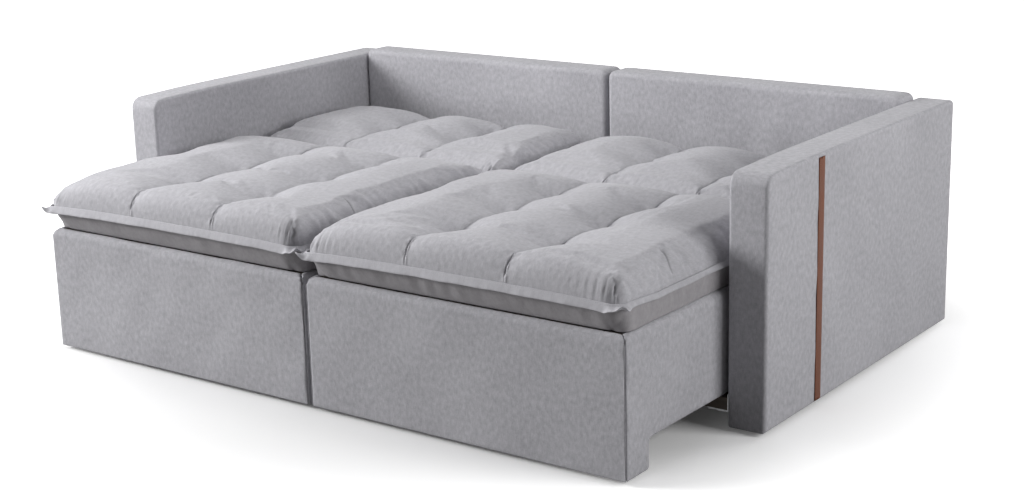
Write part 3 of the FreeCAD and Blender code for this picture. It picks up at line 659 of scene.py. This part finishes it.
for label, side in both_sides:
    hem, line = make_hem(f"pad_hem_seat_{label}", side, seat_pad["ends"][0] - 0.001,
                         seat_pad["ends"][1] - 0.002, "rear", seed=130 + side)
    seam_lines[f"seat_{label}"].append(line)
    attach(hem, f"seat_{label}")
    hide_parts(f"seat_hem_{label}")
    hem, line = make_hem(f"pad_hem_back_{label}", side, back_pad["ends"][0] + 0.004,
                         back_pad["ends"][1] + 0.001, "front", seed=150 + side)
    seam_lines[f"back_pad_{label}"].append(line)
    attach(hem, f"back_pad_{label}")
    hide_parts(f"back_hem_{label}")


# ----------------------------------------
# The stitching. Grey polyester thread runs along both sides of each channel seam and along each
# hem, in stitches about four millimetres long that lie a little into the cloth.

def make_stitching():
    """Geometry nodes that lay stitches along lines of points, each turned along its line."""
    group = bpy.data.node_groups.new("stitching", "GeometryNodeTree")
    new_socket = group.interface.new_socket
    new_socket("Lines", in_out="INPUT", socket_type="NodeSocketGeometry")
    for label, value in (("Pitch", 0.0062), ("Length", 0.0042), ("Thread", 0.00045)):
        new_socket(label, in_out="INPUT", socket_type="NodeSocketFloat").default_value = value
    new_socket("Material", in_out="INPUT", socket_type="NodeSocketMaterial")
    new_socket("Stitches", in_out="OUTPUT", socket_type="NodeSocketGeometry")
    given, sink = group.nodes.new("NodeGroupInput").outputs, group.nodes.new("NodeGroupOutput")
    curve = add(group, "GeometryNodeMeshToCurve", _0=given["Lines"])
    even = add(group, "GeometryNodeResampleCurve", {"mode": "LENGTH"}, Curve=curve.outputs[0],
               Length=given["Pitch"])
    bead = add(group, "GeometryNodeMeshIcoSphere", Radius=1.0, Subdivisions=1)
    size = add(group, "ShaderNodeCombineXYZ", X=maths(group, "MULTIPLY", given["Length"], 0.5),
               Y=maths(group, "MULTIPLY", given["Thread"], 1.3), Z=given["Thread"])
    lift = add(group, "GeometryNodeInputNamedAttribute", {"data_type": "FLOAT_VECTOR"}, Name="lift")
    along = add(group, "FunctionNodeAlignRotationToVector", {"axis": "X"},
                Vector=add(group, "GeometryNodeInputTangent").outputs[0])
    upright = add(group, "FunctionNodeAlignRotationToVector", {"axis": "Z", "pivot_axis": "X"},
                  Rotation=along.outputs[0], Vector=lift.outputs[0])
    laid = add(group, "GeometryNodeInstanceOnPoints", Points=even.outputs[0],
               Instance=bead.outputs[0], Rotation=upright.outputs[0], Scale=size.outputs[0])
    whole = add(group, "GeometryNodeRealizeInstances", _0=laid.outputs[0])
    painted = add(group, "GeometryNodeSetMaterial", Geometry=whole.outputs[0],
                  Material=given["Material"])
    feed(group, sink, Stitches=painted.outputs[0])
    return group


def object_place(tree):
    """Places on the piece itself, in metres."""
    return add(tree, "ShaderNodeTexCoord").outputs["Object"]


def thread_finish(name, light, dark):
    """Twisted thread: a slight lustre, and a colour that varies along the line."""
    material, tree, surface = new_material(name)
    twist = stretched_noise(tree, object_place(tree), (900, 900, 900), 2.0)
    feed(tree, surface, Base_Color=blended(tree, twist, dark, light),
         Roughness=maths(tree, "MULTIPLY_ADD", twist, 0.2, 0.5))
    return material


def apply_modifiers(piece):
    """Makes a piece's modifiers part of its mesh, and gives that mesh."""
    before = piece.data
    made = bpy.data.meshes.new_from_object(
        piece.evaluated_get(bpy.context.evaluated_depsgraph_get()))
    piece.modifiers.clear()
    piece.data = made
    bpy.data.meshes.remove(before)
    made.polygons.foreach_set("use_smooth", [True] * len(made.polygons))
    return made


stitching = make_stitching()


def sew(name, lines, pitch, thread):
    """One plain mesh with the stitches along given lines of points and upward directions."""
    mesh = bpy.data.meshes.new(name)
    points, lifts, edges = [], [], []
    for line, lift in lines:
        edges += [(len(points) + i, len(points) + i + 1) for i in range(len(line) - 1)]
        points += [tuple(p) for p in line]
        lifts += [tuple(n) for n in lift]
    mesh.from_pydata(points, edges, [])
    attribute = mesh.attributes.new("lift", "FLOAT_VECTOR", "POINT")
    attribute.data.foreach_set("vector", np.array(lifts, np.float32).ravel())
    piece = new_object(name, mesh)
    laid = piece.modifiers.new("stitching", "NODES")
    laid.node_group = stitching
    sockets = {item.name: item.identifier for item in stitching.interface.items_tree
               if item.in_out == "INPUT"}
    laid[sockets["Pitch"]] = pitch
    laid[sockets["Material"]] = thread
    apply_modifiers(piece)
    return piece


seam_stitch = 0.0062
grey_thread = thread_finish("grey_thread", grey(206), grey(176))
for body, lines in seam_lines.items():
    stitches = sew(f"stitching_{body}", lines, seam_stitch, grey_thread)
    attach(stitches, body)


# ----------------------------------------
# The lower cushions. A foam block in a cover of the pad cloth, drawn in towards its underside, lies
# under each pillow. Its grey is darker and warmer than the pads', as painted shade under the hem.
# The back pad's has a round nose that turns about the hinges.

# Painted shade: a darker, warmer grey than the pad cloth stands for the shade under the hem.
core_cloth_with_painted_shade = cloth_finish("lower_cushion_cloth_with_painted_shade", grey(164, 2), grey(142, 2), streaks=0.7)
core_half_width = 0.478
core_corner = 0.05
core_step = 0.008
core_bottom = 0.3632
end_undercut, corner_undercut = 0.022, 0.014
pucker_depth = 0.0012
back_core_bottom = 0.3655
nose_front = 0.078
nose_centre_y, nose_centre_z, nose_radius = 0.1625, 0.410, 0.086

# How far the side of a cushion stands in at each share of its depth.
core_profile = ((0.0, 0.004), (0.10, 0.0), (0.28, 0.0), (0.48, 0.002), (0.66, 0.005),
                (0.80, 0.008), (0.90, 0.010), (0.96, 0.012), (1.0, 0.015))


def rounded_plan(front_y, rear_y):
    """A cushion's outline as evenly spaced points, anticlockwise from above, and their lengths."""
    points = []
    for start, sx, sy in ((0, 1, 1), (90, -1, 1), (180, -1, -1), (270, 1, -1)):
        cx = sx * (core_half_width - core_corner)
        cy = (rear_y - core_corner) if sy > 0 else (front_y + core_corner)
        for a in np.radians(np.linspace(start, start + 90, 9)):
            points.append((cx + core_corner * math.cos(a), cy + core_corner * math.sin(a)))
    closed = np.array(points + points[:1])
    lengths = run_lengths(closed)
    marks = np.linspace(0, lengths[-1], round(lengths[-1] / core_step) + 1)[:-1]
    return np.column_stack([np.interp(marks, lengths, closed[:, k]) for k in (0, 1)]), marks


def make_core(name, side, front_y, rear_y, bottom, nose, seed):
    """A soft block: a rounded plan, and sides that lean in towards the bottom and pucker."""
    plan, marks = rounded_plan(front_y, rear_y)
    edge = np.gradient(np.vstack([plan[-1:], plan, plan[:1]]), axis=0)[1:-1]
    edge /= np.linalg.norm(edge, axis=1, keepdims=True)
    inward = np.stack([-edge[:, 1], edge[:, 0]], 1)
    puckers = ripples(seed, 8, 0.03, 0.09)(marks)
    top = hem_level + 0.002 - (np.zeros(len(plan)) if nose else droop_at(*plan.T))
    at_corner = 2 * np.abs(inward[:, 0] * inward[:, 1])
    free_end = np.maximum(-inward[:, 1] * (1 if nose else -1), 0)
    share, inset = np.array(core_profile).T[:, :, None]
    lean = inset * (1 - 0.75 * np.abs(inward[:, 0]))
    lean = lean + (free_end * end_undercut + at_corner * corner_undercut) * share ** 1.5
    lean = lean + pucker_depth * puckers * np.sin(math.pi * np.minimum(1, share * 1.1))
    x, y = plan[:, 0] + inward[:, 0] * lean, plan[:, 1] + inward[:, 1] * lean
    z = top + (bottom - top) * share
    if nose:
        reach = np.sqrt(np.maximum(nose_radius ** 2 - (z - nose_centre_z) ** 2, 0))
        limit = nose_centre_y - reach
        on_nose = (y < limit + 0.06) & (np.abs(plan[:, 1] - front_y) < 0.03)
        y = np.where(on_nose, np.maximum(limit, nose_front), y)
    rows = np.stack([x + side * pad_centre, y, z], 2)
    lay = np.stack(np.broadcast_arrays(marks, 0.08 * share), 2)
    core = new_piece(name, rows.reshape(-1, 3), tube_faces(*rows.shape[:2]), lay.reshape(-1, 2),
                     core_cloth_with_painted_shade)
    face_outwards(core)
    return core


for label, side in both_sides:
    core = make_core(f"pad_core_seat_{label}", side, *seat_pad["ends"], core_bottom,
                     nose=False, seed=170 + side)
    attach(core, f"seat_{label}")
    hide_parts(f"seat_core_{label}")
    core = make_core(f"pad_core_back_{label}", side, nose_front, back_pad["ends"][1],
                     back_core_bottom, nose=True, seed=180 + side)
    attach(core, f"back_pad_{label}")
    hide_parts(f"back_core_{label}")


# ----------------------------------------
# The arms. A timber frame inside a slab of foam, under a tight cover of the cloth with soft
# edges. The top front corner is round and the cover is open underneath.

slab_pitch = 0.016
on_face = 1e-9
arm_nose_drop = 0.005


def soft_slab(thick, wide, high, edge, corners, crown_by, seed, pucker):
    """Points, faces and cloth coordinates of a padded slab in its own axes: thickness, width
    and height. Its broad faces crown, its edges and the corners of its outline are round."""
    lows, sizes = zip(*[(a, b - a) for a, b in (thick, wide, high)])
    uneven = ripples(seed, 9, 0.09, 0.32)

    def steps(length):
        roll = min(edge, length / 2.5)
        ends = roll * np.linspace(0, 1, 5)
        count = max(2, round((length - 2 * roll) / slab_pitch))
        middle = np.linspace(roll, length - roll, count + 1)[1:-1]
        return np.concatenate([ends, middle, length - ends[::-1]])

    def quarter_turn(depth):
        return (edge - np.minimum(depth, edge)) / edge * math.pi / 4

    def rolled(depth):
        return np.where(depth < edge, edge * (1 - np.sin(quarter_turn(depth))), depth)

    def inset(depth):
        return np.where(depth < edge, edge * (1 - np.cos(quarter_turn(depth))), 0)

    def softened(points):
        """Moves points of a sharp box, measured from its low corner, on to the soft slab."""
        depth = np.minimum(points, sizes - points).T
        broad_face = depth[0] < on_face
        shrink = inset(depth[0])
        moved = [np.where(broad_face, inset(np.minimum(depth[1], depth[2])), rolled(depth[0]))]
        for d in depth[1:]:
            narrow = np.maximum(d, np.minimum(rolled(d), shrink + d))
            moved.append(np.where(broad_face, rolled(d), narrow))
        t, w, h = [np.where(p > size / 2, size - m, m)
                   for p, size, m in zip(points.T, sizes, moved)]
        for (far, top), radius in corners.items():
            sign_w, sign_h = 1 if far else -1, 1 if top else -1
            cw = sizes[1] - radius if far else radius
            ch = sizes[2] - radius if top else radius
            dw, dh = (w - cw) * sign_w, (h - ch) * sign_h
            inside = (dw > 0) & (dh > 0)
            scale = np.maximum(dw, dh) / np.maximum(np.hypot(dw, dh), 1e-9)
            w = np.where(inside, cw + sign_w * dw * scale, w)
            h = np.where(inside, ch + sign_h * dh * scale, h)
        broad = 1
        for p, size in ((w, sizes[1]), (h, sizes[2])):
            broad = broad * np.sin(ramp(p, size) * math.pi) ** 0.5
        swell = broad * (crown_by + pucker * uneven(w, h + 3 * t)) - crown_by * 1.02
        return np.stack([t + (t / sizes[0] - 0.5) * 2 * swell, w, h], 1) + lows

    runs = [steps(size) for size in sizes]
    sharp, faces, lay = np.zeros((0, 3)), [], []
    for fixed, lay_axes in enumerate(([1, 2], [0, 2], [1, 0])):
        a, b = [k for k in range(3) if k != fixed]
        ga, gb = np.meshgrid(runs[a], runs[b])
        for end in (0.0, sizes[fixed]):
            face = np.full((ga.size, 3), end)
            face[:, a], face[:, b] = ga.ravel(), gb.ravel()
            quads = grid_faces(*ga.shape)
            lay.append(face[quads.ravel()][:, lay_axes])
            faces.append(quads + len(sharp))
            sharp = np.concatenate([sharp, face])
    _, kept, number = np.unique(np.round(sharp, 6), axis=0, return_index=True,
                                return_inverse=True)
    return softened(sharp[kept]), number.ravel()[np.concatenate(faces)], np.concatenate(lay)


for label, side in both_sides:
    low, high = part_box(f"arm_cover_{label}")
    points, faces, lay = soft_slab((low.x, high.x), (low.y, high.y), (low.z, high.z),
                                   edge=0.010, corners={(0, 1): 0.036, (1, 1): 0.014},
                                   crown_by=0.0015, seed=200 + side, pucker=0.0009)
    high_up = ramp(points[:, 2] - 0.5, 0.166) ** 2
    points[:, 2] -= arm_nose_drop * bell(points[:, 1] - low.y, 0.16) * high_up
    arm = new_piece(f"arm_upholstery_{label}", points, faces, lay, cover_cloth)
    face_outwards(arm)
    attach(arm, "base")
    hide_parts(f"arm_cover_{label}")


# ----------------------------------------
# The back panels. Two upholstered panels stand between the arms, softer than the arms, with
# round top corners and a slightly uneven top edge where the cloth is pulled over the foam.

for label, side in both_sides:
    low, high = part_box(f"back_cover_{label}")
    points, faces, lay = soft_slab((low.y, high.y), (low.x, high.x), (low.z, high.z),
                                   edge=0.018, corners={(0, 1): 0.024, (1, 1): 0.024},
                                   crown_by=0.003, seed=210 + side, pucker=0.0016)
    panel = new_piece(f"back_upholstery_{label}", points[:, [1, 0, 2]], faces, lay, cover_cloth)
    face_outwards(panel)
    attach(panel, "base")
    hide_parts(f"back_cover_{label}")


# ----------------------------------------
# The seat boxes. Boards padded with thin foam and wrapped in the cloth: a front board with a
# round top edge, and side boards that run down to a leg at the front. They meet at a sewn corner.

board_voxel = 0.005
board_softening = 4
board_unevenness = 0.0006


def box_lay(mesh):
    """Cloth coordinates in metres, seen along the axis that each face looks along."""
    points = values_of(mesh.vertices, "co", 3)[values_of(mesh.loops, "vertex_index", kind=int)]
    facing = np.abs(values_of(mesh.polygons, "normal", 3)).argmax(1)
    facing = np.repeat(facing, values_of(mesh.polygons, "loop_total", kind=int))
    u = np.where(facing == 0, points[:, 1], points[:, 0])
    v = np.where(facing == 2, points[:, 1], points[:, 2])
    layer = mesh.uv_layers.get("lay") or mesh.uv_layers.new(name="lay")
    layer.data.foreach_set("uv", np.stack([u, v], 1).astype(np.float32).ravel())


def wrapped_boards(name, node, seed):
    """A board's mesh, padded: even quads, softened edges and a slightly uneven face."""
    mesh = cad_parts[node].data.copy()
    mesh.materials.clear()
    edit_mesh(mesh, lambda work: bmesh.ops.remove_doubles(work, verts=work.verts, dist=1e-5))
    piece = new_object(name, mesh)
    remesh = piece.modifiers.new("even", "REMESH")
    remesh.mode = "VOXEL"
    remesh.voxel_size = board_voxel
    smooth = piece.modifiers.new("soften", "SMOOTH")
    smooth.factor = 0.5
    smooth.iterations = board_softening
    made = apply_modifiers(piece)
    points, normals = values_of(made.vertices, "co", 3), values_of(made.vertices, "normal", 3)
    uneven = ripples(seed, 9, 0.10, 0.30)(points[:, 0] + points[:, 1], points[:, 2])
    flat = ramp(np.abs(normals).max(1) - 0.97, 0.03)
    points += normals * (board_unevenness * uneven * flat)[:, None]
    made.vertices.foreach_set("co", points.ravel())
    box_lay(made)
    made.materials.append(cover_cloth)
    made.update()
    return piece


for label, side in both_sides:
    front = wrapped_boards(f"seat_box_front_{label}", f"seat_front_panel_{label}", seed=240 + side)
    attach(front, f"seat_{label}")
    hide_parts(f"seat_front_panel_{label}")
    sides = wrapped_boards(f"seat_box_sides_{label}", f"seat_side_panels_{label}", seed=250 + side)
    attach(sides, f"seat_{label}")
    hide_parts(f"seat_side_panels_{label}")


# ----------------------------------------
# The straps. A band of brown saddle leather is stretched down the outer face of each arm. Its
# edges are turned and sewn. The grain is fine and the colour a little cloudy.

strap_rows = 90
strap_seams = (0.14, 0.86)
strap_seam_lift = 0.83
strap_stitch = 0.0055

# The strap's section: how thick it is at each share of its width.
strap_profile = ((0, 0.0), (0.02, 0.55), (0.06, 0.85), (0.11, 0.95), (0.14, 0.82), (0.17, 0.95),
                 (0.3, 1.0), (0.5, 1.0), (0.7, 1.0), (0.83, 0.95), (0.86, 0.82), (0.89, 0.95),
                 (0.94, 0.85), (0.98, 0.55), (1, 0.0))


def strap_leather():
    """Brown leather with cloudy colour and a fine grain."""
    material, tree, surface = new_material("strap_leather")
    place = object_place(tree)
    cloud = stretched_noise(tree, place, (60, 60, 18), 4.0)
    grain = add(tree, "ShaderNodeTexVoronoi", {"feature": "DISTANCE_TO_EDGE"}, Vector=place,
                Scale=900.0)
    feed(tree, surface,
         Base_Color=blended(tree, cloud, (0.085, 0.028, 0.015, 1), (0.180, 0.064, 0.034, 1)),
         Roughness=maths(tree, "MULTIPLY_ADD", cloud, 0.2, 0.52), Specular_IOR_Level=0.25,
         Normal=relief_of(tree, grain.outputs["Distance"], 0.4, 0.0004))
    return material


strap_finish = strap_leather()


def make_strap(label, side):
    """A flat band with rolled edges and a sewn crease inside each edge, and its seam lines."""
    low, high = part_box(f"arm_strap_{label}")
    inner = low.x if side > 0 else high.x
    thick, width = side * (high.x - low.x), high.y - low.y
    levels = np.linspace(low.z, high.z, strap_rows)
    share, lift = np.array(strap_profile).T
    rows = np.stack(np.broadcast_arrays(inner + thick * lift, low.y + width * share,
                                        levels[:, None]), 2)
    strap = new_piece(f"leather_strap_{label}", rows.reshape(-1, 3),
                      closed_sheet(*rows.shape[:2]), rows[..., 1:].reshape(-1, 2) - (low.y, 0),
                      strap_finish)
    face_outwards(strap)
    x = inner + thick * strap_seam_lift
    return strap, [([(x, low.y + at * width, z) for z in levels[1:-1]],
                    [(side, 0, 0)] * (strap_rows - 2)) for at in strap_seams]


brown_thread = thread_finish("brown_thread", (0.30, 0.17, 0.10, 1), (0.16, 0.08, 0.045, 1))
for label, side in both_sides:
    strap, lines = make_strap(label, side)
    stitches = sew(f"stitching_strap_{label}", lines, strap_stitch, brown_thread)
    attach(stitches, "base")
    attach(strap, "base")
    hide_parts(f"arm_strap_{label}")


# ----------------------------------------
# The timber. Planed pine rails and posts inside the arms and backs, dark stained rails in the
# seat boxes and beams between the arms, and stained birch plywood boards inside the back pads.
# The dark stain on the seat rails, shelves and beams is made very dark, so that it is also
# painted shade in the gaps under the seats and behind the back pads.

def make_wood_grain():
    """Long grain along the second axis, growth bands and pores."""
    group, source, sink = shader_group("wood_grain", {
        "Early wood": (0.6, 0.4, 0.2, 1), "Late wood": (0.4, 0.25, 0.12, 1), "Bands": 60.0})
    vector = source.outputs["Vector"]
    bend = stretched_noise(group, vector, (9, 2, 9), 2.0)
    split = add(group, "ShaderNodeSeparateXYZ", Vector=vector)
    across = maths(group, "MULTIPLY_ADD", split.outputs[2], 0.8, split.outputs[0])
    bands = maths(group, "MULTIPLY", source.outputs["Bands"], 2 * math.pi)
    turns = maths(group, "MULTIPLY", across, bands)
    band = maths(group, "SINE", maths(group, "MULTIPLY_ADD", bend, 14.0, turns))
    pores = stretched_noise(group, vector, (700, 30, 700), 2.0)
    grain = maths(group, "MULTIPLY_ADD", pores, 0.6, 0.2)
    factor = add(group, "ShaderNodeClamp",
                 Value=maths(group, "MULTIPLY_ADD", band, 0.30, grain)).outputs[0]
    feed(group, sink, Height=pores, Roughness=maths(group, "MULTIPLY_ADD", pores, 0.25, 0.5),
         Color=blended(group, factor, source.outputs["Late wood"], source.outputs["Early wood"]))
    return group


wood_grain = make_wood_grain()


def wood_finish(name, early, late, bands, turn=0.0):
    """A timber material. Turn, in quarter turns, lays the grain along the piece."""
    material, tree, surface = new_material(name)
    laid = add(tree, "ShaderNodeMapping", Vector=object_place(tree),
               Rotation=(0, 0, turn * math.pi / 2))
    wood = add(tree, "ShaderNodeGroup", {"node_tree": wood_grain}, Vector=laid.outputs[0],
               Early_wood=(*early, 1), Late_wood=(*late, 1), Bands=bands).outputs
    feed(tree, surface, Base_Color=wood["Color"], Roughness=wood["Roughness"],
         Normal=relief_of(tree, wood["Height"], 0.3, 0.0004))
    return material


def give(material, *nodes):
    """Puts a material on nodes of the frame."""
    for node in nodes:
        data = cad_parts[node].data
        data.materials.clear()
        data.materials.append(material)
        for polygon in data.polygons:
            polygon.material_index = 0


pine = ((0.62, 0.42, 0.22), (0.45, 0.26, 0.11), 55.0)
pine_depth = wood_finish("pine_lengthways", *pine)
pine_width = wood_finish("pine_crossways", *pine, turn=1)
# Stain and painted shade: a very dark colour, so the gaps it shows through read as shade.
stain_and_painted_shade = wood_finish("stained_beams_and_painted_shade", (0.075, 0.058, 0.045), (0.040, 0.031, 0.025), 55.0, 1)
birch = wood_finish("birch_plywood", (0.185, 0.135, 0.095), (0.115, 0.080, 0.055), 18.0, 1)
give(pine_depth, "arm_frame_left", "arm_frame_right")
give(pine_width, "back_frame_left", "back_frame_right")
give(birch, "back_board_left", "back_board_right")
give(stain_and_painted_shade, "seat_frame_left", "seat_frame_right", "back_shelf_left", "back_shelf_right",
     "crossbeams")


# ----------------------------------------
# The steel. Folded and bored parts, screwed to the timber: channels, angles, forks and pins are
# zinc-plated, with a slightly clouded spangle, and hinge arms and shelf brackets are blackened.

def steel_finish(name, bright, dull, rough, metallic, cloud):
    """Plated or blackened steel."""
    material, tree, surface = new_material(name)
    place = object_place(tree)
    spangle = add(tree, "ShaderNodeTexVoronoi", {"feature": "F1"}, Vector=place, Scale=cloud)
    haze = stretched_noise(tree, place, (90, 90, 90))
    factor = maths(tree, "MULTIPLY_ADD", spangle.outputs["Distance"], 0.6,
                   maths(tree, "MULTIPLY", haze, 0.5))
    feed(tree, surface, Base_Color=blended(tree, factor, (*bright, 1), (*dull, 1)),
         Roughness=maths(tree, "MULTIPLY_ADD", haze, 0.3, rough), Metallic=metallic,
         Normal=relief_of(tree, haze, 0.2, 0.0002))
    return material


zinc = steel_finish("zinc_plate", (0.62, 0.63, 0.64), (0.42, 0.43, 0.44), 0.22, 1.0, 260.0)
black_steel = steel_finish("blackened_steel", (0.10, 0.10, 0.105), (0.045, 0.045, 0.048), 0.35,
                           0.7, 500.0)
for label in ("left", "right"):
    give(zinc, f"seat_tracks_{label}", f"hinge_brackets_{label}", f"hinge_pins_{label}",
         f"wheel_brackets_{label}")
    give(black_steel, f"hinge_arms_{label}")
give(zinc, "beam_hangers", "beam_bolts")
give(black_steel, "shelf_brackets")


# ----------------------------------------
# The wheels, feet and webbing. Grey rubber castor wheels and rollers, black plastic feet, and
# elastic webbing with woven ribs stretched over each seat box.

rib_pitch = 0.0022


def moulded_finish(name, light, dark, rough, grain):
    """Moulded rubber or plastic with a fine grain, worn a little."""
    material, tree, surface = new_material(name)
    place = object_place(tree)
    speckle = stretched_noise(tree, place, (grain, grain, grain), 4.0)
    wear = stretched_noise(tree, place, (40, 40, 40))
    feed(tree, surface, Base_Color=blended(tree, wear, (*dark, 1), (*light, 1)),
         Roughness=maths(tree, "MULTIPLY_ADD", wear, 0.25, rough),
         Normal=relief_of(tree, speckle, 0.3, 0.0002))
    return material


def webbing_finish():
    """Dark elastic webbing with crossing ribs."""
    material, tree, surface = new_material("elastic_webbing")
    place = object_place(tree)
    split = add(tree, "ShaderNodeSeparateXYZ", Vector=place)
    turns = [maths(tree, "MULTIPLY", split.outputs[k], 2 * math.pi / rib_pitch) for k in (0, 1)]
    rib = maths(tree, "MULTIPLY", *[maths(tree, "SINE", turn) for turn in turns])
    dust = stretched_noise(tree, place, (200, 200, 200))
    factor = maths(tree, "MULTIPLY_ADD", rib, 0.2, dust)
    feed(tree, surface,
         Base_Color=blended(tree, factor, (0.045, 0.044, 0.043, 1), (0.13, 0.125, 0.12, 1)),
         Roughness=maths(tree, "MULTIPLY_ADD", dust, 0.2, 0.75),
         Normal=relief_of(tree, rib, 0.4, 0.0004))
    return material


rubber = moulded_finish("wheel_rubber", (0.20, 0.20, 0.205), (0.13, 0.13, 0.135), 0.55, 600.0)
black_plastic = moulded_finish("black_plastic", (0.030, 0.030, 0.032), (0.018, 0.018, 0.019),
                               0.35, 900.0)
give(rubber, "front_wheels_left", "front_wheels_right", "rear_rollers_left",
     "rear_rollers_right")
give(webbing_finish(), "seat_webbing_left", "seat_webbing_right")
give(black_plastic, "glides")


# ----------------------------------------
# The studio: a white floor that keeps the sofa's shadow and turns to pure white further out,
# where a painted glow that only the camera sees lights it, softboxes on the left, on the right
# and above, two broad weak lights, and the camera at the photograph's place.

sky_level = 0.04
floor_reach = 40
floor_level = -0.0005

camera = new_object("camera", bpy.data.cameras.new("camera"))
camera.data.lens = 62.946
camera.data.sensor_width = 36
camera.data.sensor_fit = "HORIZONTAL"
camera.location = (3.05344, -4.01150, 1.60846)
camera.rotation_euler = [math.radians(a) for a in (74.9498, 1.4004, 35.9516)]
scene = bpy.context.scene
scene.camera = camera
scene.view_settings.view_transform = "Standard"


def seen_directly(tree):
    """One for rays from the camera, off a mirror or through glass, and nothing for the rest."""
    rays = tree.nodes.new("ShaderNodeLightPath").outputs
    return maths(tree, "MAXIMUM", rays["Is Camera Ray"],
                 maths(tree, "MAXIMUM", rays["Is Glossy Ray"], rays["Is Transmission Ray"]))


def soft_sun(name, towards, level, spread):
    """A broad light from one direction. Level is what it adds to a face turned to it."""
    lamp = new_object(name, bpy.data.lights.new(name, "SUN"))
    lamp.data.energy = level * math.pi
    lamp.data.angle = math.radians(spread)
    lamp.rotation_euler = Vector(towards).to_track_quat("Z", "Y").to_euler()


def softbox(name, place, aim, size, power):
    """A square softbox that points at a spot."""
    lamp = new_object(name, bpy.data.lights.new(name, "AREA"))
    lamp.data.size = size
    lamp.data.energy = power
    lamp.location = place
    lamp.rotation_euler = (Vector(aim) - Vector(place)).to_track_quat("-Z", "Y").to_euler()


world = bpy.data.worlds.new("studio")
scene.world = world
world.use_nodes = True
tree = world.node_tree
sky_strength = maths(tree, "MULTIPLY_ADD", seen_directly(tree), 1 - sky_level, sky_level)
feed(tree, tree.nodes["Background"], Color=(1, 1, 1, 1), Strength=sky_strength)

softbox("key", (-3.4, -2.7, 2.3), (0.1, 0.0, 0.35), 1.5, 120)
softbox("side", (4.2, 0.3, 1.9), (0.9, 0.2, 0.4), 1.6, 85)
softbox("top", (-1.0, -0.6, 3.0), (-0.2, -0.2, 0.4), 1.8, 32)
soft_sun("low", (-0.80, -0.50, 0.30), 0.48, 25)
soft_sun("behind", (0.25, 0.80, 0.55), 0.22, 40)

floor_material, tree, surface = new_material("studio_floor")
seen = seen_directly(tree)
away = add(tree, "ShaderNodeVectorMath", {"operation": "LENGTH"}, _0=object_place(tree))
# Painted light: the floor glows for camera rays. The glow is faint near the sofa, where it lightens
# the shadow, and full white from about two metres out.
painted_glow = add(tree, "ShaderNodeMapRange", {"interpolation_type": "SMOOTHSTEP"},
           Value=away.outputs["Value"], From_Min=0.9, From_Max=2.0, To_Min=0.03, To_Max=1.0)
feed(tree, surface, Roughness=0.9, Specular_IOR_Level=0.0, Emission_Color=(1, 1, 1, 1),
     Base_Color=blended(tree, seen, (0.34, 0.34, 0.34, 1), (0.99, 0.99, 0.99, 1)),
     Emission_Strength=maths(tree, "MULTIPLY", seen, painted_glow.outputs["Result"]))
mesh = bpy.data.meshes.new("floor")
corners = [(x * floor_reach, y * floor_reach, floor_level)
           for x, y in ((-1, -1), (1, -1), (1, 1), (-1, 1))]
mesh.from_pydata(corners, [], [(0, 1, 2, 3)])
mesh.materials.append(floor_material)
new_object("floor", mesh)
